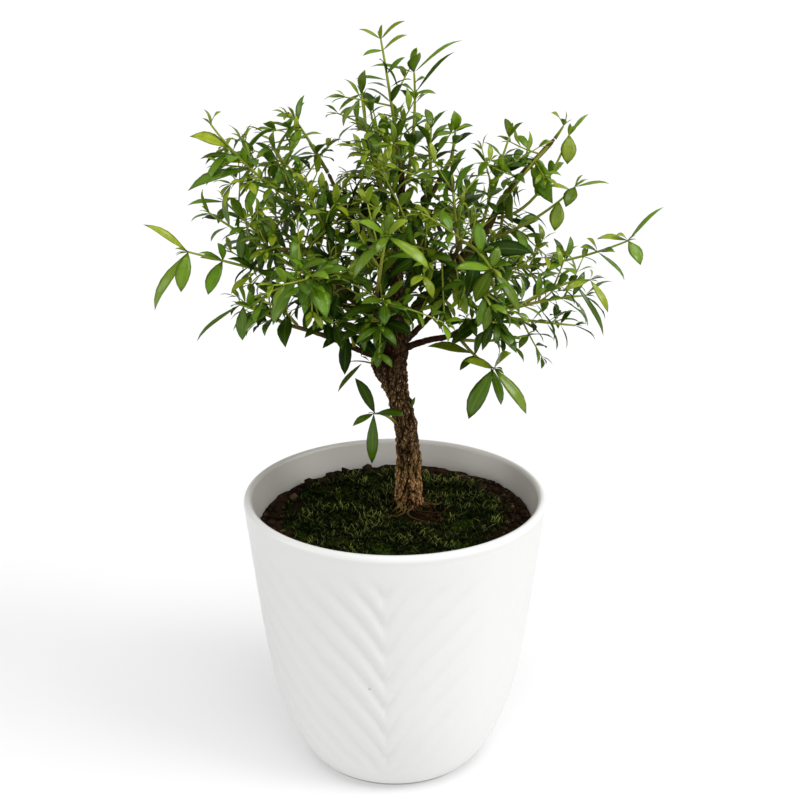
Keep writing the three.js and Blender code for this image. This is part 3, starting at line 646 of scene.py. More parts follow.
# The limb, the place along it, the tip, the upward bow, the leaf length, the pairs and the bare share.
# Then the leaves that are set: the place on the stem, the tip, the width, and how yellow a young one is
SHOWN_SHOOTS = {
    "crown_tip": ["leader", 1, (-6, 5, 359), 0, 15, 3, 0.25, [
        (1, 5, 1, 367, 2.7, 0.6), (0.9, 6, 2, 361, 2.7, 0.5), (1, -16, 8, 363, 2, 0.5),
        (0.9, -14, 2, 352, 2.7), (0.7, -7, -3, 351, 3.1), (0.7, 5, 9, 351, 2.7), (0.65, -18, 10, 341, 2),
    ]],
    "crown_second": ["leader", 0.975, (9, 12, 344), 2, 17, 2, 0.3, [
        (1, 11, 2, 353, 7.7), (1, 31, 14, 358, 2), (0.8, 28, 16, 353, 2), (0.8, 3, 6, 339, 3.7),
        (1, -11, 17, 346, 2), (0.8, 19, 7, 335, 2.8), (0.9, 14, 8, 342, 3.2),
    ]],
    "crown_left": ["leader", 0.9, (-15, 8, 335), 3, 16, 3, 0.35, [
        (1, -13, 4, 346, 4.5), (1, -25, 2, 328, 2.3), (0.9, -25, 3, 326, 2.7),
    ]],
    "high_left": ["top_left", 1, (-46, 13, 323), 1, 14, 1, 0.3, [
        (1, -41, 11, 331, 2.8), (1, -54, 7, 325, 3.7), (0.65, -60, 15, 321, 2),
    ]],
    "left_upper": ["top_left", 0.72, (-55, 0, 311), -2, 16, 1, 0.45, [
        (1, -54, -5, 320, 3.6), (1, -62, -7, 308, 4.1), (1, -45, -6, 311, 3.2),
    ]],
    "crown_inner": ["leader", 0.95, (-11, 18, 326), 2, 17, 2, 0.3, []],
    "left_high": ["top_left", 0.62, (-81, -14, 324), -14, 18, 3, 0.25, [
        (0.85, -90, -18, 319, 7.1, 1.0), (0.8, -72, -23, 308, 7.1), (1, -75, -20, 330, 3.1, 0.5),
        (0.85, -84, -15, 297, 4.1), (0.8, -86, -17, 309, 2.7), (0.7, -92, -18, 295, 6.3),
    ]],
    "left_long": ["left", 0.76, (-93, -20, 268), 4, 18, 2, 0.2, [
        (1, -112, -23, 281, 4.1, 0.95), (1, -110, -18, 240, 5.6, 0.2), (1, -96, -27, 251, 7.3),
        (0.7, -85, -20, 248, 6.9), (0.55, -69, -10, 277, 4.6), (0.7, -79, -24, 273, 4.5),
        (0.7, -88, -23, 268, 2.7),
    ]],
    "left_low": ["low_left", 1, (-70, -26, 245), 2, 15, 3, 0.25, [
        (0.9, -69, -29, 229, 6), (1, -90, -28, 228, 2.3), (1, -72, -32, 253, 3.6),
        (0.7, -65, -31, 253, 4.1),
    ]],
    "left_droop": ["low_left", 0.45, (-22, -20, 231), 4, 18, 1, 0.5, [
        (1, -23, -24, 211, 6.1), (1, -33, -25, 224, 4.6),
    ]],
    "trunk_sprig": ["leader", 0.365, (-10, -10, 187), 3, 22, 0, 0.72, [
        (0.95, -19, -7, 204, 5.8), (1, -20, -17, 183, 3.8), (1, -11, -12, 162, 5.8),
        (0.9, 5, -16, 188, 4.8),
    ]],
    "right_long": ["right", 0.5, (108, -5, 270), -3, 15, 3, 0.3, [
        (1, 113, -12, 260, 6.5), (1, 123, -7, 286, 2.3), (1, 92, -12, 272, 3.7, 0.7),
        (1, 101, -12, 274, 3.7, 0.7), (0.8, 101, -12, 266, 4.2), (0.8, 85, -11, 268, 3.7),
        (0.8, 88, -9, 272, 3.7, 0.5), (0.8, 108, -1, 250, 2.4), (0.6, 74, 1, 270, 2.8),
        (0.6, 69, -9, 255, 3.7),
    ]],
    "right_reach": ["low_right", 1, (89, -20, 255), 5, 16, 2, 0.25, [
        (1, 76, -26, 251, 4.1, 0.6), (1, 97, -25, 241, 3.7, 0.8), (1, 88, -24, 261, 2.7, 0.6),
        (0.7, 96, -22, 229, 2.8),
    ]],
    "right_hang": ["low_right", 0.56, (45, -36, 218), -2, 22, 0, 0.5, [
        (0.4, 15, -22, 224, 5.1, 0.4), (0.45, 42, -29, 234, 5), (0.45, 30, -27, 214, 3.7),
        (1, 31, -41, 223, 5.4, 0.55), (1, 34, -37, 194, 8.3), (0.9, 49, -32, 199, 4.6),
        (1, 60, -39, 197, 6, 0.25), (1, 52, -45, 228, 6.3, 0.4),
    ]],
    "right_high": ["right", 0.71, (81, 13, 316), -17, 17, 2, 0.3, [
        (1, 80, 8, 303, 7.5, 0.5), (1, 90, 16, 325, 2),
    ]],
    "right_round": ["right", 0.655, (83, 0, 294), -4, 17, 1, 0.3, [
        (1, 78, -8, 286, 6.4), (0.8, 74, -3, 274, 7, 0.4), (0.95, 70, -6, 295, 3.2, 0.7),
        (1, 99, 2, 295, 2),
    ]],
    "right_mid": ["top_right", 1, (28, 9, 318), 0, 16, 1, 0.5, [
        (1, 27, 4, 328, 6), (1, 36, 4, 321, 3.7), (0.95, 18, 3, 316, 3.2),
    ]],
    "stub_buds": ["right", 1, (79, 20, 319), 0, 12, 0, 0.5, [
        (1, 72, 12, 326, 4.6, 0.5), (1, 78, 14, 323, 2.8, 0.7),
    ]],
    "right_inner": ["right", 0.63, (53, 8, 316), -1, 17, 3, 0.25, []],
    "right_under": ["low_right", 0.8, (86, 0, 228), 1, 16, 3, 0.3, []],
    "right_wisp": ["low_right", 0.5, (62, -10, 226), -2, 14, 1, 0.5, []],
    "front_star": ["front", 1, (-3, -66, 285), 3, 20, 2, 0.5, [
        (1, 15, -70, 271, 5.5, 0.3), (1, -17, -69, 267, 5.1), (1, -7, -74, 279, 4.6),
        (1, -15, -73, 292, 5.4), (1, 6, -69, 292, 5, 0.5), (1, -1, -62, 294, 4.6),
    ]],
    "front_right_star": ["front_right", 1, (41, -62, 270), 3, 20, 1, 0.5, [
        (1, 25, -67, 271, 5.5), (1, 34, -68, 257, 7.3), (1, 53, -64, 251, 5.2), (0.65, 35, -51, 288, 5.6),
        (0.65, 42, -61, 279, 3.4), (1, 44, -59, 279, 4.7),
    ]],
    "front_low_star": ["front", 0.6, (-4, -60, 256), 2, 18, 1, 0.4, [
        (0.75, -4, -61, 245, 5.6), (0.7, 6, -60, 251, 3.9), (1, 5, -57, 264, 3.9), (1, -14, -67, 256, 4.7),
    ]],
    "left_mid": ["left", 0.93, (-78, 0, 287), -2, 18, 2, 0.35, [
        (1, -95, -4, 286, 2.8), (0.95, -81, -6, 278, 4.6),
    ]],
    "left_front": ["front_left", 1, (-41, -55, 267), 1, 18, 1, 0.35, [
        (0.8, -52, -57, 244, 6.6), (1, -27, -61, 273, 4.7), (1, -50, -61, 263, 3.9),
    ]],
}


def face_distance(line, t, out):
    """How far the limb's flat CAD faces lie from its line, in a direction square to it."""
    _, side, over = directions(line, t)
    angle = math.atan2(out @ side, out @ over)
    facet = 2 * math.pi / line.sides
    from_middle = angle - facet * (math.floor(angle / facet) + 0.5)
    return line.radius(t, angle) * math.cos(facet / 2) / math.cos(from_middle)


def stem_from(limb, t, tip, bow):
    line = wood[limb]
    heart = line.at(t)
    along = directions(line, t)[0]
    towards = tip - heart
    out = unit(towards - along * (towards @ along)) if t < 1 else along
    middle = mix(heart, tip, 0.5) + UP * bow + out * 0.1 * np.linalg.norm(towards)
    slant = abs(unit(middle - heart) @ along)
    start = face_distance(line, t, out) + STEM_RADIUS * slant if t < 1 else 0
    return Bow(heart + out * (start + GAP), middle, tip)


class Shoot:
    """A stem with its habit and the leaves that have grown on it so far."""

    def __init__(self, name, limb, t, tip, bow, leaf_length, pairs, bare, shown=()):
        self.name = name
        self.line = stem_from(limb, t, np.array(tip, float), bow)
        self.leaf_length, self.pairs, self.bare = leaf_length, pairs, bare
        self.shown = shown
        self.end = SET_FROM if shown else RULED_END
        self.number = len(shoots)
        self.leaves = []
        shoots.append(self)
        taken.take(spread(self.line, 24), STEM_RADIUS, name)

    def add(self, leaf, sure=False):
        """Adds a leaf that is sure of its place or has room, and tells whether it had."""
        room = sure or taken.clear(leaf.places, BLADE_THICKNESS / 2, LEAF_CLEARANCE, self.name)
        if room:
            taken.take(leaf.places, BLADE_THICKNESS / 2, self.name + " leaf")
            self.leaves.append(leaf)
        return room


shoots = []
for name, habit in SHOWN_SHOOTS.items():
    Shoot(name, *habit)
for shoot in shoots:
    for t, x, y, z, width, *young in shoot.shown:
        habit = {"share": t, "young": young[0] if young else None}
        shoot.add(leaf_to(shoot.line.at(t), (x, y, z), width, **habit), sure=True)
print("shown shoots:", len(shoots), "with", sum(len(shoot.leaves) for shoot in shoots), "set leaves")

# %% Ruled shoots
RULED_SHOOTS = 26
SHORTEST_STEM = 26
LOWEST_START = 214
START_SPACING = 5
STEM_CLEARANCE = 0.8
RULED_BOW = 3
RULED_LEAVES = (17, 22)
DRAW_REACH, DRAW_LEAVES, DRAW_BLADE, DRAW_FINE = 1, 2, 7, 17
CROWN_CENTRE = np.array([0.0, 2.0, 248.0])
CROWN_SIZE = np.array([90.0, 80.0, 76.0])
CROWN_DOWN = 32
SQUARENESS = 3
SHELLS = (1, 0.62, 0.84)


def crown_tip(number, count=RULED_SHOOTS, shells=SHELLS):
    """Where the tip of a ruled shoot lies, on one of the shells of the crown."""
    lift = 1 - (1.5 * (number + 0.5)) / count
    turn = number * GOLDEN_ANGLE + 0.6
    level = math.sqrt(max(0, 1 - lift * lift))
    bulge = (level**SQUARENESS + abs(lift) ** SQUARENESS) ** (-1 / SQUARENESS)
    reach = bulge * shells[number % len(shells)] * mix(0.84, 1, chance(DRAW_REACH, number))
    size = CROWN_SIZE * np.array([1, 1, 1 if lift > 0 else CROWN_DOWN / CROWN_SIZE[2]])
    return CROWN_CENTRE + size * np.array([level * math.cos(turn), level * math.sin(turn), lift]) * reach


def places_for(tip):
    """The nearest places on the limbs for a stem to that tip."""
    starts = []
    for limb, line in wood.items():
        for i in range(5, 20):
            start = line.at(i / 20)
            away = np.linalg.norm(start - tip)
            if start[2] > LOWEST_START and away > SHORTEST_STEM:
                starts.append((away, limb, i / 20))
    return sorted(starts, key=lambda start: start[0])[:14]


for number in range(RULED_SHOOTS):
    tip = crown_tip(number)
    for away, limb, t in places_for(tip):
        stem = stem_from(limb, t, tip, RULED_BOW)
        apart = all(np.linalg.norm(other.line.base - stem.base) > START_SPACING for other in shoots)
        if apart and taken.clear(spread(stem, 20, 0.12), STEM_RADIUS, STEM_CLEARANCE):
            pairs = math.floor(clamp(away / 14, 3, 4) + 0.5)
            leaf_length = mix(*RULED_LEAVES, chance(DRAW_LEAVES, number))
            Shoot(f"shoot_{number + 1}", limb, t, tip, RULED_BOW, leaf_length, pairs, 0.3)
            break
print("shoots:", len(shoots))

# %% [markdown]
# Serissa bears its leaves in opposite pairs, and each pair is turned a quarter round from the last. A leaf
# leans out from its stem, droops a little, and turns its face to the sky. If it would touch what grew
# before it, it tries again a little further round.
# %% Leaf places
TURNS = (0, 20, -20, 40, -40, 60, -60, 80)


def leaf_on(shoot, pair, hand, attempt):
    draw = [chance(DRAW_BLADE, shoot.number, pair, hand, key) for key in (1, 2, 3, 4)]
    share = pair / (shoot.pairs - 1) if shoot.pairs > 1 else 0
    t = mix(shoot.bare, shoot.end, share)
    turn = shoot.number * 47 + pair * 90 + hand * 180 + (draw[0] - 0.5) * 36 + TURNS[attempt]
    stem, outward = around(shoot.line, t, math.radians(turn))
    opening = math.radians(mix(66, 42, share) + (draw[1] - 0.5) * 22)
    along = outward * math.sin(opening) + stem * math.cos(opening)
    along = unit(along - UP * (0.12 + 0.42 * (1 - abs(stem[2]))))
    length = shoot.leaf_length * mix(0.8, 1.15, draw[2]) * mix(1.08, 0.72, share**2)
    length *= 1 - 0.03 * attempt
    width = length * SIDEWAYS * mix(0.85, 1.2, draw[3])
    return Leaf(shoot.line.at(t), along, stem * 0.7 + UP * 0.8, length, width, share)


for shoot in shoots:
    for pair in range(shoot.pairs):
        for hand in range(2):
            for attempt in range(len(TURNS)):
                if shoot.add(leaf_on(shoot, pair, hand, attempt)):
                    break
print("leaves as in the CAD part:", sum(len(shoot.leaves) for shoot in shoots))

# %% Check the regrown shoots against the CAD nodes
worst = 0
for shoot in shoots:
    places = np.concatenate([spread(shoot.line, 12)] + [leaf.places for leaf in shoot.leaves]) * MM
    low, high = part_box(shoot.name)
    worst = max(worst, np.abs(places.min(0) - low).max(), np.abs(places.max(0) - high).max())
print("furthest that a regrown shoot's box lies from its CAD node's:", round(worst / MM, 2), "mm")

# %% [markdown]
# ## A tube along a line
# Trunk, limbs, stems and roots are all tubes. Blender could bevel a curve object, but a tube that starts as
# a capped cylinder, cut into rings, keeps its vertices in hand: each ring is moved onto the line, and each
# vertex can be pushed out or in for bark.
# %% Tube


def ringed_cone(shape, cuts, **cone):
    """A cone or cylinder from -0.5 to 0.5 in height, cut into rings. Returns its vertices."""
    before = len(shape.verts)
    made = bmesh.ops.create_cone(shape, depth=1, **cone)
    edges = [edge for vert in made["verts"] if vert.co.z < 0 for edge in vert.link_edges]
    upright = [edge for edge in edges if abs(edge.verts[0].co.z - edge.verts[1].co.z) > 0.5]
    bmesh.ops.subdivide_edges(shape, edges=upright, cuts=cuts, use_grid_fill=True)
    shape.verts.ensure_lookup_table()
    return shape.verts[before:]


def tube(shape, line, thick, thin, sides, steps):
    """A closed cylinder whose rings are moved onto a line. Returns each vertex with its share along it."""
    rings = [(line.at(row / steps), *directions(line, row / steps)[1:]) for row in range(steps + 1)]
    placed = []
    for vert in ringed_cone(shape, steps - 1, cap_ends=True, segments=sides, radius1=1, radius2=1):
        row = round((vert.co.z + 0.5) * steps)
        centre, side, over = rings[row]
        out = side * vert.co.x + over * vert.co.y
        vert.co = (centre + out * mix(thick, thin, row / steps)) * MM
        placed.append((vert, row / steps))
    return placed


class Rounded:
    """A limb's line with its corners rounded, and with even steps."""

    REACH = 0.42
    WINDOW = (-REACH, -REACH / 2, 0, REACH / 2, REACH)

    def __init__(self, wood_line):
        self.stops = wood_line.stops
        self.steps = wood_line.steps

    def corner(self, t):
        t = clamp(t) * self.steps
        stop = min(self.steps - 1, int(t))
        return mix(self.stops[stop], self.stops[stop + 1], t - stop)

    def at(self, t):
        room = min(1, t * self.steps / self.REACH, (1 - t) * self.steps / self.REACH)
        return sum(self.corner(t + shift * room / self.steps) for shift in self.WINDOW) / len(self.WINDOW)


print("tubes and rounded lines are ready")

# %% [markdown]
# ## Bark
# The bark of an old serissa splits into long plates with deep dark fissures, and flakes at their edges. A
# bump map would leave the outline smooth, so the fissures are cut into the mesh: cells that are drawn out
# along the trunk give the plates, and the gap between the two nearest cells gives the fissure.
# %% Trunk
TRUNK_COLUMNS = 112
TRUNK_RINGS = 330
PLATE_WIDTH = 1.7
PLATE_LENGTH = 6
PLATE_EDGE = 0.26
PLATE_CUT, BROAD_CUT, SMALL_CUT, HOLLOW_CUT = 0.49, 0.6, 0.3, 1.4
# The place across the trunk in radii, the height, the size and the reach of each burl
BURLS = [
    (0.18, 0.6, 139, 1.3, 4), (-0.4, -1, 163, 0.9, 5), (-1, 0.1, 207, 1.6, 7),
    (0.9, -0.5, 176, 1.2, 3), (0.75, -0.6, 188, 1.3, 2.2), (0.9, -0.3, 143, 0.9, 3),
]
HOLLOW = Vector((-8, -5, 214))
HOLLOW_REACH = 7.5
# A noise vector would change each time Blender starts, so three plain noises stand in for it
BEND_OFFSETS = [Vector((0, 0, 0)), Vector((31, 7, 5)), Vector((3, 47, 11))]


def trunk_radius(t):
    """The plain radius of the trunk, rounded like its line."""
    line = wood["leader"]
    shares = [clamp(t + shift / line.steps) for shift in (-0.3, -0.1, 0.1, 0.3)]
    return sum(line.radius(share) / bark_ribs(line.at(share)[2], 0) for share in shares) / len(shares)


def plates(place, width, length):
    """0 in a fissure and 1 on a plate, and a number that tells one plate from the next."""
    bend = Vector(noise.noise(place / 7 + offset) for offset in BEND_OFFSETS) * 0.5
    cell = Vector((place.x / width, place.y / width, place.z / length)) + bend
    distances, points = noise.voronoi(cell)
    return smooth((distances[1] - distances[0]) / PLATE_EDGE), noise.cell(points[0] * 7.3)


shape = bmesh.new()
layers = add_layers(shape, "depth", "tone", "limb")
trunk_line = Rounded(wood["leader"])
for vert, t in tube(shape, trunk_line, 1, 1, TRUNK_COLUMNS, TRUNK_RINGS):
    heart = Vector(trunk_line.at(t))
    out = vert.co / MM - heart
    plain = trunk_radius(t) * bark_ribs(heart.z, math.atan2(out.y, out.x))
    surface = heart + out * plain
    plate, tint = plates(surface, PLATE_WIDTH, PLATE_LENGTH)
    broad, _ = plates(surface + Vector((3, 8, 5)), PLATE_WIDTH * 2.2, PLATE_LENGTH * 2)
    small, _ = plates(surface * 1.7 + Vector((9, 4, 2)), PLATE_WIDTH, PLATE_LENGTH)
    lump = noise.noise(surface / 6) * 0.55 + noise.noise(surface / 2.2) * 0.22
    crumb = noise.fractal(surface / 0.8, 0.8, 2, 3) * 0.12
    hollow = math.exp(-(((surface - HOLLOW).length / HOLLOW_REACH) ** 4))
    rise = (plate - 1) * PLATE_CUT + (broad - 1) * BROAD_CUT + (small - 1) * SMALL_CUT
    rise += tint * 0.35 + lump + crumb - hollow * HOLLOW_CUT
    rise *= clamp(plain / 6, 0.15, 1.2) * smooth((heart.z - SOIL_TOP + 3) / 6)
    for x, y, z, size, reach in BURLS:
        away = surface - Vector((heart.x + x * plain, heart.y + y * plain, z))
        rise += size * math.exp(-(away.length / reach) ** 2)
    vert.co = (heart + out * (plain + rise)) * MM
    # The depth layer is low in the fissures and in the hollow, where the finish paints the bark near black as
    # shade.
    depth = (0.3 + 0.7 * broad) * (0.35 + 0.65 * plate) * (0.6 + 0.4 * small)
    mark(vert, layers, depth * (1 - 0.97 * hollow), 0.5 + 0.5 * tint)
print("trunk:", len(shape.faces), "faces")

# %% Limbs
LIMB_COLUMNS = 12
LIMB_RING_EVERY = 1.6
LIMB_PLATE = (1.3, 4)
LIMB_SHARE = 0.84

for name in LIMBS:
    line = wood[name]
    rounded = Rounded(line)
    length = sum(np.linalg.norm(b - a) for a, b in zip(line.stops, line.stops[1:]))
    for vert, t in tube(shape, rounded, 1, 1, LIMB_COLUMNS, int(length / LIMB_RING_EVERY)):
        heart = Vector(rounded.at(t))
        out = vert.co / MM - heart
        plain = line.radius(min(t, 0.999)) * LIMB_SHARE
        surface = heart + out * plain
        plate, tint = plates(surface, *LIMB_PLATE)
        knot = 0.35 * max(0, noise.noise(surface / 4)) + 0.2 * noise.noise(surface / 1.6)
        end = 1 - 0.35 * smooth((t - 0.985) / 0.015)
        vert.co = (heart + out * (plain * end + (plate - 1) * 0.22 + knot)) * MM
        mark(vert, layers, 0.4 + 0.6 * plate, 0.35 + 0.3 * tint, mix(0.35, 1, t * t))
print("trunk with limbs:", len(shape.faces), "faces")

# %% Bark finish
bark = Finish("bark", Specular_IOR_Level=0.04)
fine = bark.grain(900, 4, 0.65)
streak = bark.grain(420, 3, 0.6, (1, 1, 0.25))
height = bark.height()
foot = 1 - bark.step(height, 0.139, 0.168)
flake = bark.step(bark.grain(760, 4, 0.7, (1, 1, 0.35)), 0.40, 0.60)
fleck = bark.step(bark.grain(1500, 3, 0.6, (1, 1, 0.5)), 0.50, 0.66)
splinter = bark.step(bark.grain(2100, 2, 0.6, (1, 1, 0.3)), 0.60, 0.68)
algae = bark.step(bark.grain(70, 2), 0.56, 0.7)
crown_shade = bark.step(height, 0.186, 0.214)
# Painted shade: the trunk is darkened just above the soil, where it goes into the moss.
soil_line_shade = 1 - bark.step(height, 0.1305, 0.1345)
limb = bark.attribute("limb")
dark = bark.blend(foot, (0.018, 0.008, 0.001), (0.060, 0.021, 0.002))
tan = bark.blend(foot, (0.105, 0.054, 0.015), (0.310, 0.145, 0.040))
light = bark.blend(foot, (0.360, 0.230, 0.120), (0.820, 0.560, 0.300))
twig = bark.blend(bark.step(limb, 0.35, 1.15), (0.022, 0.009, 0.004), (0.150, 0.105, 0.030))
twig = bark.blend(bark.step(streak, 0.5, 0.7) * 0.4, twig, (0.080, 0.042, 0.020))
bark.colour = bark.blend(flake, dark, tan)
bark.paint(fleck * 0.75, light)
bark.paint(bark.attribute("tone") * 0.25, tan)
bark.paint(splinter * 0.8, (0.860, 0.660, 0.440))
bark.paint(algae * 0.25, (0.10, 0.105, 0.02))
bark.paint(crown_shade * 0.7, (0.012, 0.006, 0.002))
bark.paint(bark.step(limb, 0.05, 0.3), twig)
# Painted shade at the trunk's foot, just above the soil.
bark.paint(soil_line_shade * 0.8, (0.030, 0.014, 0.006))
# Painted shade: where the depth layer is low, in the fissures and in the hollow at the fork, the bark is
# coloured near black.
bark.paint(1 - bark.step(bark.attribute("depth"), 0.08, 0.72), (0.009, 0.003, 0.001))
bark.feed(Base_Color=bark.colour, Roughness=0.93 - fine * 0.2)
bark.bump(fine * 0.5 + streak, 0.7, 0.0009)
piece("barked_trunk", shape, bark, "bark", "trunk")

# %% [markdown]
# ## Soil
# Bonsai soil is a mix of baked clay lumps and dark humus. Its body is spun like the pot and made uneven with
# noise. The lumps that show round the moss are small balls of twenty faces, each pushed out of round.
# %% Soil body
SOIL_REACH = wall_radius(SOIL_TOP) - WALL_THICKNESS - 0.15
SOIL_COLUMNS = 168
SOIL_ROWS = 50


def soil_top(x, y):
    """The soil is banked up at the back and low on the left."""
    place = Vector((x, y, 0))
    bank = 0.02 * y + 0.022 * x
    return SOIL_TOP + 1.2 + bank + 1.3 * noise.noise(place / 9) + 0.9 * noise.noise(place / 3.1)


under = [(0, 8), (wall_radius(8) - 14, 8), (wall_radius(16) - 7, 16), (wall_radius(60) - 5.6, 60)]
under.append((SOIL_REACH, SOIL_TOP - 2))
rows = [(SOIL_REACH * row / SOIL_ROWS, SOIL_TOP) for row in range(SOIL_ROWS, -1, -1)]
shape = spun(under + rows, SOIL_COLUMNS)
for vert in shape.verts:
    if vert.co.z > (SOIL_TOP - 1) * MM:
        vert.co.z = soil_top(vert.co.x / MM, vert.co.y / MM) * MM

soil = Finish("dark_soil", Specular_IOR_Level=0.03)
speck = soil.grain(260, 4, 0.7)
soil.colour = soil.blend(soil.step(speck, 0.42, 0.6), (0.008, 0.004, 0.002), (0.040, 0.022, 0.011))
soil.paint(soil.step(soil.grain(520, 2), 0.62, 0.72), (0.10, 0.065, 0.035))
soil.feed(Base_Color=soil.colour, Roughness=0.95 - soil.grain(60) * 0.2)
soil.bump(speck, 0.8, 0.0012)
piece("soil_surface", shape, soil, "earth", "soil")

# %% Soil crumbs
CRUMBS = 1100
LUMPS = 30
EDGE_SHARE = 0.7
DRAW_CRUMB = 51


def copies(template, count, *names):
    """Many copies of one small bmesh in a new one, with their layers, and the vertices of each copy."""
    mesh = meshed("template", template)
    shape = bmesh.new()
    layers = add_layers(shape, *names)
    for _ in range(count):
        shape.from_mesh(mesh)
    shape.verts.ensure_lookup_table()
    size = len(mesh.vertices)
    bpy.data.meshes.remove(mesh)
    return shape, layers, [shape.verts[size * i : size * i + size] for i in range(count)]


template = bmesh.new()
bmesh.ops.create_icosphere(template, subdivisions=1, radius=1)
shape, layers, crumbs = copies(template, CRUMBS, "shade")
for number, crumb in enumerate(crumbs):
    edge, away, turn, size, shade, lump_turn, lump_away, lump_size = draws(DRAW_CRUMB, 8, number)
    turn *= 2 * math.pi
    out = mix(52, SOIL_REACH - 2.2, away**0.7) if edge < EDGE_SHARE else mix(8, 54, away)
    size = mix(0.5, 1.9, size**2) * (1.9 if number % 23 == 0 else 1)
    if number < LUMPS:
        turn = math.radians(mix(62, 205, (number + lump_turn) / LUMPS))
        out, size = mix(58, 64, lump_away), mix(2.2, 4.2, lump_size)
    size = min(size, SOIL_REACH - out)
    x, y = out * math.cos(turn), out * math.sin(turn)
    middle = Vector((x, y, soil_top(x, y) + size * 0.35))
    rotation = Matrix.Rotation(turn * 5 + number, 3, "Z")
    for vert in crumb:
        knock = 1 + 0.45 * noise.noise(vert.co * 1.3 + Vector((number, 3, 7)))
        vert.co = (rotation @ (vert.co * Vector((1, 0.8, 0.7)) * knock * size) + middle) * MM
        mark(vert, layers, shade)

clay = Finish("soil_lumps", Specular_IOR_Level=0.05)
shade = clay.attribute("shade")
clay.colour = clay.blend(shade, (0.002, 0.001, 0.0005), (0.030, 0.016, 0.007))
clay.paint(clay.step(shade, 0.9, 0.94), (0.13, 0.075, 0.040))
clay.paint(clay.grain(900, 3) * 0.6, (0.018, 0.011, 0.006))
clay.feed(Base_Color=clay.colour, Roughness=0.92)
clay.bump(clay.grain(1100, 3), 0.6, 0.0005)
piece("soil_crumbs", shape, clay, "earth", flat=True)

# %% [markdown]
# ## Moss
# Moss is a cushion of tiny leafy stems. The cushion gives it its hummocks, and some thousands of tufts stand
# on it, each of a few curved three-sided blades with yellow-green tips. Hair would do the same, but hair
# can't be carried over to other programs as a mesh can.
# %% Moss cushion
MOSS_RADIUS = 61
MOSS_SPREAD = MOSS_RADIUS + 3
MOSS_HEIGHT = 4.4
MOSS_ROWS = 60
MOSS_COLUMNS = 150


def moss_edge(x, y):
    """The share of the way from the middle of the cushion to its ragged edge."""
    turn = math.atan2(y, x)
    place = Vector((math.cos(turn) * 2.2, math.sin(turn) * 2.2, 4))
    radius = MOSS_RADIUS - 3 * math.cos(2 * turn) + 4 * noise.noise(place) + 3 * noise.noise(place * 3)
    return math.hypot(x, y) / radius


def trodden(x, y):
    """1 on the bare dark patch in front of the trunk, on its right."""
    return math.exp(-((math.hypot((x - TRUNK_X - 7) * 0.8, y - TRUNK_Y + 15) / 10) ** 4))


def moss_top(x, y):
    place = Vector((x, y, 0))
    mound = MOSS_HEIGHT * (1 - clamp(moss_edge(x, y)) ** 5) ** 0.5
    hummock = 2.2 * noise.noise(place / 13) + 1.8 * noise.noise(place / 5) + 0.6 * noise.noise(place / 2.2)
    return SOIL_TOP + mound + 0.012 * (x + y) + hummock * smooth(mound / 3) - 1.2 * trodden(x, y)


rows = [(row / MOSS_ROWS, SOIL_TOP) for row in range(MOSS_ROWS, -1, -1)]
shape = spun([(0, SOIL_TOP - 2), (1, SOIL_TOP - 2)] + rows, MOSS_COLUMNS)
layers = add_layers(shape, "bald")
for vert in shape.verts:
    if vert.co.z > (SOIL_TOP - 1) * MM:
        x, y = vert.co.x / MM * MOSS_SPREAD, vert.co.y / MM * MOSS_SPREAD
        vert.co = Vector((x, y, moss_top(x, y) - 1.2 * smooth((moss_edge(x, y) - 0.9) * 8))) * MM
    else:
        vert.co.xy *= MOSS_RADIUS
    mark(vert, layers, trodden(vert.co.x / MM, vert.co.y / MM))

cushion = Finish("moss_cushion", Specular_IOR_Level=0.0)
fuzz = cushion.grain(700, 4, 0.7)
# Partly painted shade: the cushion is near black, for the moss's own dark lower growth and for the shade deep
# among its tufts.
cushion.colour = cushion.blend(cushion.step(fuzz, 0.4, 0.62), (0.002, 0.004, 0.001), (0.026, 0.046, 0.005))
cushion.paint(cushion.step(cushion.grain(60, 3), 0.48, 0.66), (0.016, 0.010, 0.005))
cushion.paint(cushion.attribute("bald"), (0.014, 0.008, 0.004))
cushion.feed(Base_Color=cushion.colour, Roughness=1.0)
cushion.bump(fuzz, 1.0, 0.0012)
piece("moss_mat", shape, cushion, "moss", "moss")

# %% Moss sprigs
TUFTS = 3200
TUFT_BLADES = 5
DRAW_TUFT = 61

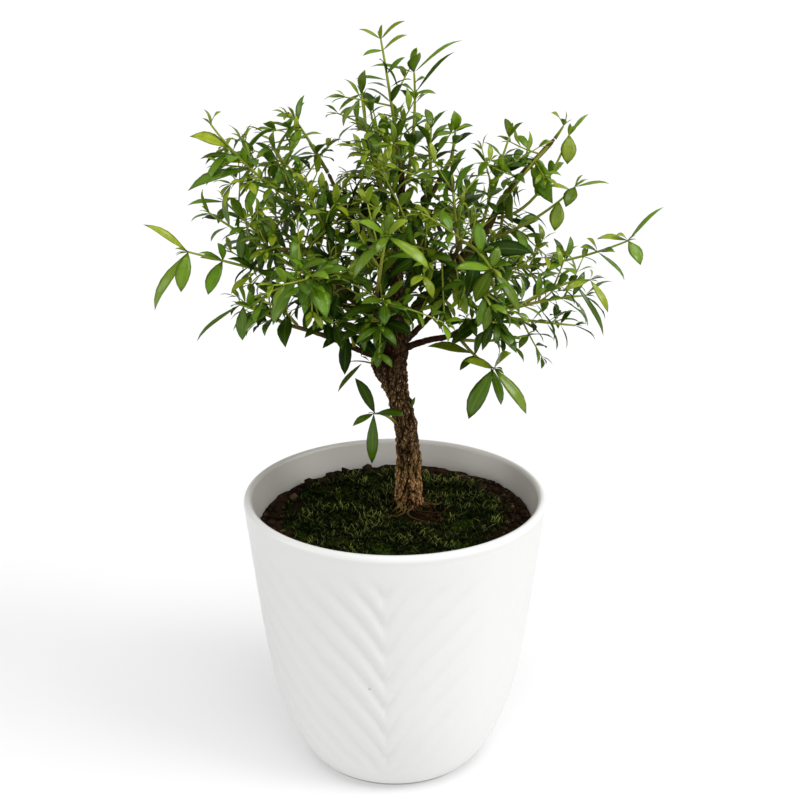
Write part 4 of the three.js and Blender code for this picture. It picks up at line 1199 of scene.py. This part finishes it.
template = bmesh.new()
for number in range(TUFT_BLADES):
    turn = Matrix.Rotation(math.radians(number * 137.5), 3, "Z")
    lean = mix(0.5, 1.5, (number % 3) / 2)
    for vert in ringed_cone(template, 1, cap_ends=False, segments=3, radius1=0.13, radius2=0.025):
        rise = vert.co.z + 0.5
        bend = Vector((lean * rise**1.5, 0.25 * lean * rise**2, rise * (1 - 0.38 * lean * rise)))
        vert.co = turn @ (Vector((vert.co.x, vert.co.y, 0)) + bend * mix(0.7, 1, (number % 4) / 3))
shape, layers, tufts = copies(template, TUFTS, "tip", "tint")
for number, tuft in enumerate(tufts):
    jitter, turn, size, lean_x, lean_y, tint, spin = draws(DRAW_TUFT, 7, number)
    out = MOSS_RADIUS * math.sqrt((number + 0.5) / TUFTS) * mix(0.98, 1.03, jitter)
    turn = number * GOLDEN_ANGLE + turn * 0.05
    x, y = out * math.cos(turn), out * math.sin(turn)
    patch = noise.noise(Vector((x, y, 9)) / 11)
    bare = max(trodden(x, y), smooth((noise.noise(Vector((x, y, 31)) / 9) - 0.12) * 5))
    size = mix(2.0, 5.0, size) * (1 + 0.5 * patch) * (1 - 0.65 * bare)
    size *= 1 - 0.45 * smooth((moss_edge(x, y) - 0.86) / 0.14)
    lean = Vector((x, y, 0)) * 0.004 + Vector((lean_x - 0.5, lean_y - 0.5, 0)) * 1.2
    tint = clamp(0.45 + 1.2 * patch + 0.6 * (tint - 0.5))
    base = Vector((x, y, max(moss_top(x, y), soil_top(x, y)) - 0.5))
    rotation = Matrix.Rotation(2 * math.pi * spin, 3, "Z")
    for vert in tuft:
        rise = vert.co.z
        vert.co = (base + (rotation @ vert.co + lean * rise * rise) * size) * MM
        mark(vert, layers, clamp(rise), tint)

sprig = Finish("moss_sprigs", Specular_IOR_Level=0.05)
leafy = sprig.blend(sprig.attribute("tint"), (0.036, 0.066, 0.005), (0.350, 0.400, 0.095))
# Partly painted shade: each tuft is near black at its foot, where the moss is both older and shaded, and
# turns green towards its tips.
root_to_tip = sprig.step(sprig.attribute("tip"), 0.3, 1.0)
sprig.feed(Base_Color=sprig.blend(root_to_tip, (0.003, 0.005, 0.001), leafy), Roughness=0.85)
piece("moss_sprigs", shape, sprig, "moss")

# %% [markdown]
# Thin dead roots lie on the moss round the trunk's foot, most of them in front and on the right.
# %% Surface roots
ROOTS = 18
FRONT_ROOTS = 11
ROOT_SIDES = 5
ROOT_STEPS = 16
DRAW_ROOT = 42


class Root:
    """A thread of root: out from the foot, wavering over the moss, its end dipping into it."""

    def __init__(self, number, reach):
        front = number < FRONT_ROOTS
        self.turn = math.radians(mix(-120, 15, number / 10)) if front else number * 1.9
        self.reach = mix(7, 19 if front else 11, reach)
        self.number = number

    def at(self, t):
        turn = self.turn + 0.6 * math.sin(5 * t + self.number) * t
        out = 6.5 + self.reach * t
        x, y = TRUNK_X + out * math.cos(turn), TRUNK_Y + out * math.sin(turn)
        lift = 1.9 + 1.4 * math.sin(6 * t + 2 * self.number) * t - 2.6 * t**3
        return np.array([x, y, max(moss_top(x, y), soil_top(x, y)) + lift])


shape = bmesh.new()
layers = add_layers(shape, "depth", "tone", "limb")
for number in range(ROOTS):
    reach, size, age = draws(DRAW_ROOT, 3, number)
    size = mix(0.3, 1.1, size**2)
    for vert, t in tube(shape, Root(number, reach), size + 0.1, size * 0.4 + 0.1, ROOT_SIDES, ROOT_STEPS):
        mark(vert, layers, 0.9, 0.5, mix(0.35, 1.1, age))
piece("surface_roots", shape, bark, "bark")

# %% [markdown]
# ## Leaves
# A real leaf here is a lens of about three times its width, pointed at both ends, folded a little along its
# midrib, and arched towards a drooping tip. Two sheets of a few quads are joined at the rim, so each leaf is
# a thin closed body, and its upper and lower face can have their own colour.
# %% One leaf
LEAF_ROWS = 6
LEAF_COLUMNS = 4
LEAF_BODY = 0.3
LEAF_FOLD = 0.16
LEAF_TIP_DROOP = 0.1

template = bmesh.new()
for sheet in (1, -1):
    before = len(template.verts)
    bmesh.ops.create_grid(template, x_segments=LEAF_COLUMNS, y_segments=LEAF_ROWS, size=1)
    template.verts.ensure_lookup_table()
    for vert in template.verts[before:]:
        end = abs(vert.co.y) > 0.99
        vert.co.z = 0 if end or abs(vert.co.x) > 0.99 else sheet
        vert.co.x = 0 if end else vert.co.x
bmesh.ops.remove_doubles(template, verts=template.verts[:], dist=0.001)
bmesh.ops.recalc_face_normals(template, faces=template.faces[:])
GRID = np.array([(vert.co.x, (vert.co.y + 1) / 2, vert.co.z) for vert in template.verts])
leaf_mesh = meshed("leaf_template", template)


def leaf_places(leaf, number):
    """Where the vertices of a leaf go, on the curve of the plain leaf with a fold, a wave and a droop."""
    side, t, face = GRID.T
    half = np.sin(np.pi * np.clip(t, 0, 1)) ** 0.9 * leaf.width * 0.5 + 0.25 * (t < 0.1)
    wave = 0.035 * leaf.width * np.sin(9 * t + number) * side
    fold = LEAF_FOLD * (np.abs(side) - 0.35) * half
    arch = np.sin(np.pi * t * 0.8) * leaf.length * ARCH
    droop = -LEAF_TIP_DROOP * leaf.length * np.clip(t - 0.6, 0, 1) ** 2 * 4
    body = face * LEAF_BODY * 0.5 * np.sin(np.pi * np.clip(t, 0.04, 0.96)) * (1 - np.abs(side) * 0.5)
    lift = (arch + droop + fold + wave + body)[:, None]
    middle = leaf.root + leaf.along * (t**0.9 * leaf.length)[:, None]
    return middle + leaf.across * (side * half)[:, None] + leaf.up * lift


print("faces on a leaf:", len(leaf_mesh.polygons))

# %% [markdown]
# The CAD leaves are the large ones. Between them a real shoot bears more and smaller pairs, side twigs in
# the axils, and a bud of very young leaves at its tip. They follow the same rule, closer together.
# %% Growth between the large leaves
FINE_CLEARANCE = 0.35
FINE_REACH = 0.2
TWIG_REACH = 0.4
BUD_LEAVES = 4
BUD_YOUTH = 0.6
FINE_TURNS = (0, 25, -25, 50, -50)
low_corner = np.array(cad_box[0]) / MM - 4.5
high_corner = np.array(cad_box[1]) / MM + 4.5


def inside(places, margin=0):
    """True if places lie within the CAD part's box, or hardly past it."""
    return (places > low_corner + margin).all() and (places < high_corner - margin).all()


class Growth:
    """The small leaves along one stem, which keep clear of all but that stem."""

    def __init__(self, owner, line):
        self.owner = owner
        self.line = line
        self.leaves = []

    def leaf(self, t, turn, opening, length, young, *key):
        """Adds a leaf where there is room, or a little further round. One low in the shade is dark."""
        for further in FINE_TURNS:
            stem, outward = around(self.line, t, turn + math.radians(further))
            along = unit(outward * math.sin(opening) + stem * math.cos(opening) - UP * 0.15)
            width = length * SIDEWAYS * mix(0.85, 1.15, chance(DRAW_FINE, 5, *key))
            leaf = Leaf(self.line.at(t), along, stem * 0.45 + UP * 0.9, length, width)
            blade = leaf.places[3:]
            if inside(leaf.places) and taken.clear(blade, FINE_REACH, FINE_CLEARANCE, self.owner):
                taken.take(blade, FINE_REACH, self.owner + " fine")
                leaf.young = young * mix(0.08, 1, smooth((leaf.root[2] - 240) / 24))
                self.leaves.append(leaf)
                return

    def pairs(self, count, start, end, longest, young, *key):
        """Opposite pairs from one place to another on the stem, smaller towards its tip."""
        for pair in range(count):
            share = pair / max(1, count - 1)
            for hand in range(2):
                draw = chance(DRAW_FINE, 1, pair, hand, *key)
                turn = math.radians(key[-1] * 61 + pair * 90 + 45) + hand * math.pi
                length = longest * mix(1, 0.7, share) * mix(0.75, 1.15, draw)
                opening = math.radians(mix(64, 36, share) + 18 * (draw - 0.5))
                self.leaf(mix(start, end, share), turn, opening, length, young * share, *key, pair, hand)

    def bud(self, longest, *key):
        for number in range(BUD_LEAVES):
            length = longest * mix(0.6, 1, chance(DRAW_FINE, 3, number, *key))
            opening = math.radians(mix(16, 40, number / BUD_LEAVES))
            self.leaf(0.99, number * math.pi / 2 + key[-1], opening, length, BUD_YOUTH, *key, number)


def twig_from(shoot, t, turn, length):
    """A side twig from the axil of a pair, or None if something is in its way."""
    stem, outward = around(shoot.line, t, turn)
    heading = unit(outward * 0.8 + stem * 0.6 + UP * 0.12) * length
    base = shoot.line.at(t)
    line = Bow(base, base + heading * 0.5 - UP * 0.03 * length, base + heading + UP * 0.05 * length)
    places = spread(line, 10, 0.25)
    free = inside(places, 2) and taken.clear(places, TWIG_REACH, FINE_CLEARANCE, shoot.name)
    return line if free else None


for shoot in shoots:
    number = shoot.number
    for leaf in shoot.leaves:
        if leaf.young is None:
            # Painted shade: a leaf near a tip is young and lime, but low in the crown the lime fades out, as
            # in the crown's shade.
            leaf.young = max(0, leaf.share - 0.75) * 0.5 * smooth((leaf.root[2] - 240) / 20)
    shoot.growths = [Growth(shoot.name, shoot.line)]
    gap = (shoot.end - shoot.bare) / max(1, shoot.pairs - 1)
    for place in range(shoot.pairs - 1):
        t = shoot.bare + gap * (place + 0.5)
        shoot.growths[0].pairs(1, t, t, shoot.leaf_length * 0.72, 0, number, place)
    shoot.growths[0].bud(8, number, 90)
    for place in range(clamp(shoot.pairs * 2 - 2, 0, 4)):
        turn = math.radians(number * 83 + place * 137.5)
        length = mix(13, 24, chance(DRAW_FINE, 7, number, place))
        twig = twig_from(shoot, shoot.bare * 0.6 + place * 0.5 * gap, turn, length)
        if twig:
            growth = Growth(f"{shoot.name} twig {place}", twig)
            taken.take(spread(twig, 10, 0.2), TWIG_REACH, growth.owner)
            growth.pairs(3, 0.35, 0.97, 12.5, 0.6, number, 20 + place)
            growth.bud(6.5, number, 40 + place)
            shoot.growths.append(growth)
print("twigs:", sum(len(shoot.growths) - 1 for shoot in shoots))
print("fine leaves:", sum(len(growth.leaves) for shoot in shoots for growth in shoot.growths))

# %% [markdown]
# The middle of the crown is a thicket. Thinner shoots start on the limbs and on the larger stems, and run
# out to the same bowl-shaped outline, with small pairs close together.
# %% Thicket
THICKET_SHOOTS = 250
THICKET_SHELLS = (0.97, 0.7, 0.86, 0.52)
THICKET_STEM = 0.45
THICKET_SECTORS = 6
THICKET_LENGTH = (12, 70)
LEAF_SPACING = 5.5

starts = []
for line in list(wood.values()) + [shoot.line for shoot in shoots]:
    starts += [(line.at(i / 20), line, i / 20) for i in range(3, 17)]
starts = [start for start in starts if start[0][2] > LOWEST_START]
start_points = np.array([start[0] for start in starts])


def thicket_tip(number):
    """A tip on the crown's outline, which is narrower below its middle and on the right."""
    tip = crown_tip(number, THICKET_SHOOTS, THICKET_SHELLS) - CROWN_CENTRE
    narrow = 1 - (0.22 if tip[0] > 0 else 0.12) * clamp(0.4 - tip[2] / 60)
    return CROWN_CENTRE + tip * np.array([narrow, narrow, 1 if tip[2] > 0 else 0.6])


def thicket_share(x, y, z):
    """How much grows towards a tip: less on the right, at the top right, low on the left and at the fork."""
    right = 0.75 * smooth((x - 28) / 12)
    top_right = 0.8 * smooth((x - 6) / 8) * smooth((z - 302) / 8)
    low_left = 0.95 * smooth((-30 - x) / 12) * smooth((228 - 0.6 * x - z) / 10)
    over_trunk = smooth((30 - abs(x + 4)) / 10) * smooth((-20 - y) / 12) * smooth((246 - z) / 8)
    return 1 - max(right, top_right, low_left, over_trunk)


def thicket_stem(tip):
    """The first clear stem to a tip, from a place nearer the crown's middle than the tip is."""
    away = np.linalg.norm(start_points - tip, axis=1)
    inner = np.linalg.norm(start_points - CROWN_CENTRE, axis=1) < np.linalg.norm(tip - CROWN_CENTRE) - 6
    able = np.flatnonzero(inner & (away > THICKET_LENGTH[0]) & (away < THICKET_LENGTH[1]))
    for choice in able[np.argsort(away[able])][:8]:
        base, parent, t = starts[choice]
        side, over = directions(parent, t)[1:]
        reach = tip - base
        out = unit(side * (side @ reach) + over * (over @ reach))
        base = base + out * (parent.radius(t) * 0.6 if isinstance(parent, Wood) else 0)
        line = Bow(base, mix(base, tip, 0.5) + out * 0.12 * away[choice] + UP * 1.5, tip)
        if taken.clear(spread(line, 14, 0.25), THICKET_STEM, FINE_CLEARANCE):
            return line
    return None


# Tips in the upper left and beside the leader, where the photo shows more growth than the rule gives
EXTRA_TIPS = [
    (-78, -8, 305), (-70, 10, 314), (-48, 2, 326), (-66, -14, 316), (-74, 22, 302), (-60, 4, 318),
    (-44, -8, 320), (-80, 16, 310), (-64, -24, 300), (-70, -6, 306), (-76, -18, 312), (-66, 18, 308),
    (-22, 2, 334), (-26, 10, 326), (-14, 16, 330), (-56, 14, 312), (-8, -14, 322), (-14, 12, 318),
    (-2, -18, 316), (-10, 22, 326), (-4, 4, 312), (1, -8, 330), (-16, -22, 312), (-6, -30, 306),
]
tips = [thicket_tip(number) for number in range(THICKET_SHOOTS)]
tips = [tip for number, tip in enumerate(tips) if chance(DRAW_FINE, 13, number) < thicket_share(*tip)]
tips += [np.array(tip, float) for tip in EXTRA_TIPS]
thicket = [[] for _ in range(THICKET_SECTORS)]
for number, tip in enumerate(tips):
    line = thicket_stem(tip)
    if line:
        growth = Growth(f"thicket {number}", line)
        taken.take(spread(line, 14), THICKET_STEM, growth.owner)
        count = round(np.linalg.norm(line.tip - line.base) * 0.75 / LEAF_SPACING)
        growth.pairs(count, 0.25, 0.96, mix(11, 17, chance(DRAW_FINE, 11, number)), 0.7, 200, number)
        growth.bud(8, 300, number)
        sector = int((math.atan2(tip[1], tip[0]) / math.pi + 1) / 2 * THICKET_SECTORS) % THICKET_SECTORS
        thicket[sector].append(growth)
print("thicket shoots:", sum(len(sector) for sector in thicket))

# %% [markdown]
# A bare twig leaves the trunk on the left, under the fork, with one long hanging leaf and a few narrow ones.
# %% Trunk twig
TRUNK_TWIG = Bow(*np.array([(-8, 3, 207), (-15, 0, 211), (-21.4, -2, 210.7)]))
# The root, the tip and the width of each leaf
TRUNK_TWIG_LEAVES = [
    ((-15.6, -1, 209.5), (-27.2, -6, 196.5), 2.6),
    ((-21.4, -2, 210.7), (-23.9, -4, 206.0), 1.5),
    ((-12, 1, 209.6), (-16.1, -3, 213.3), 1.3),
    ((-16.1, -3, 213.3), (-13.6, -5, 220.2), 1.5),
    ((-8, 3, 207), (-13.1, -3, 215.2), 1.2),
    ((8.4, 1, 186.5), (10.0, 0, 192.0), 1.8),
    ((8.0, 0, 187.0), (5.6, -3, 190.6), 1.6),
]
trunk_twig_leaves = [leaf_to(np.array(root), tip, width, young=0.1) for root, tip, width in TRUNK_TWIG_LEAVES]
print("leaves on the trunk's twig:", len(trunk_twig_leaves))

# %% Leaf finish
LAYERS = ("along", "across", "tone", "young", "under", "wood")

leafy = Finish("serissa_leaf", Specular_IOR_Level=0.06, Coat_Roughness=0.24)
along, side, tone, young, under, woody = (leafy.attribute(layer) for layer in LAYERS)
mottle = leafy.grain(420, 3)
midrib = 1 - leafy.step(abs(side), 0.0, 0.16)
veins = leafy.node("Math", {"operation": "SINE"}, {0: (along - abs(side) * 0.16) * 70})
veins = leafy.step(veins, 0.8, 1.0) * leafy.step(abs(side), 0.95, 0.4)
# Painted shade: the tone layer takes leaves deep in the crown and low down from bright green to near black,
# over a random tone of their own.
deep = leafy.blend(tone, (0.003, 0.013, 0.0003), (0.150, 0.300, 0.006))
lime = leafy.blend(tone, (0.28, 0.36, 0.010), (0.50, 0.56, 0.030))
leafy.colour = leafy.blend(young, deep, lime)
leafy.paint(leafy.step(mottle, 0.35, 0.7) * 0.25, (0.020, 0.05, 0.002))
leafy.paint((midrib * 0.55 + veins * 0.12) * (tone * 0.75 + 0.25), (0.18, 0.33, 0.02))
leafy.paint(under * (tone * 0.4 + 0.08), (0.13, 0.25, 0.02))
leafy.paint(woody, leafy.blend(young, (0.13, 0.065, 0.025), (0.34, 0.40, 0.05)))
gloss = (1 - under) * (1 - woody) * leafy.step(tone, 0.05, 0.6) * 0.75
roughness = under * 0.24 + woody * 0.3 - young * 0.03 + 0.4
leafy.feed(Base_Color=leafy.colour, Coat_Weight=gloss, Roughness=roughness)
leafy.bump(veins * 0.4 + midrib * -0.6 + mottle * 0.3, 0.35, 0.0003)

glow = leafy.node("BsdfTranslucent", {}, {"Color": (0.20, 0.40, 0.006)})
body = Value(leafy, leafy.shader.outputs[0])
shine_through = tone * 0.25 + young * 0.12 + 0.05
both = leafy.node("MixShader", {}, {"Fac": shine_through, 1: body, 2: glow})
leafy.connect(leafy.tree.nodes["Material Output"].inputs["Surface"], both)
print("leaf finish:", len(leafy.tree.nodes), "nodes")

# %% Sprays
STEM_SIDES = 6
STEM_RING_EVERY = 4
DRAW_TONE = 91


def out_in_the_light(leaf):
    """How light a leaf is coloured: 0 in the middle of the crown and 1 at its outline, and less for leaves
    low in the crown, most on the left. It is mostly painted shade, with some of the older inner leaves' own
    darker colour.
    """
    middle = leaf.root + leaf.along * leaf.length * 0.5
    outer = mix(0.05, 1.2, smooth((np.linalg.norm((middle - CROWN_CENTRE) / CROWN_SIZE) - 0.42) / 0.55))
    low = mix(0.62, 0.42, smooth((middle[0] - 10) / 20)) * smooth((252 - middle[2]) / 28)
    return outer * (1 - low)


def spray(name, stems, leaves, number, *stands_for):
    """A piece with its stems and leaves. A stem is a line with a radius at each end and its youth."""
    shape = bmesh.new()
    layers = add_layers(shape, *LAYERS)
    for line, thick, thin, youth in stems:
        steps = max(4, int(np.linalg.norm(line.at(1) - line.at(0)) / STEM_RING_EVERY))
        for vert, t in tube(shape, line, thick, thin, STEM_SIDES, steps):
            mark(vert, layers, t, 0, 0.5, clamp(youth + t), 0, 1)
    start = len(shape.verts)
    for leaf in leaves:
        shape.from_mesh(leaf_mesh)
    shape.verts.ensure_lookup_table()
    for index, leaf in enumerate(leaves):
        # The tone is a random draw times the painted shade from out_in_the_light.
        tone = clamp(chance(DRAW_TONE, number, index) ** 0.8 * 1.15 * out_in_the_light(leaf))
        blade = shape.verts[start + index * len(GRID) : start + (index + 1) * len(GRID)]
        for vert, place, (side, t, face) in zip(blade, leaf_places(leaf, number + index) * MM, GRID):
            vert.co = place
            mark(vert, layers, t, side, tone, leaf.young, float(face < 0), 0)
    piece(name, shape, leafy, "leaf", *stands_for)


for shoot in shoots:
    stems = [(shoot.line, 0.9, 0.45, 0.3)] + [(growth.line, 0.5, 0.25, 0.5) for growth in shoot.growths[1:]]
    leaves = shoot.leaves + [leaf for growth in shoot.growths for leaf in growth.leaves]
    spray(shoot.name + "_leaves", stems, leaves, shoot.number, shoot.name)
for index, sector in enumerate(thicket):
    stems = [(growth.line, THICKET_STEM, 0.3, 0.5) for growth in sector]
    leaves = [leaf for growth in sector for leaf in growth.leaves]
    spray(f"thicket_{index + 1}_leaves", stems, leaves, 400 + index)
spray("trunk_twig_leaves", [(TRUNK_TWIG, 0.5, 0.25, 0.0)], trunk_twig_leaves, 500)

# %% [markdown]
# ## Size and finish
# The CAD part's size before the dressing is printed.
# %% Size and finish
print("CAD box:", np.round(cad_box, 4).tolist())
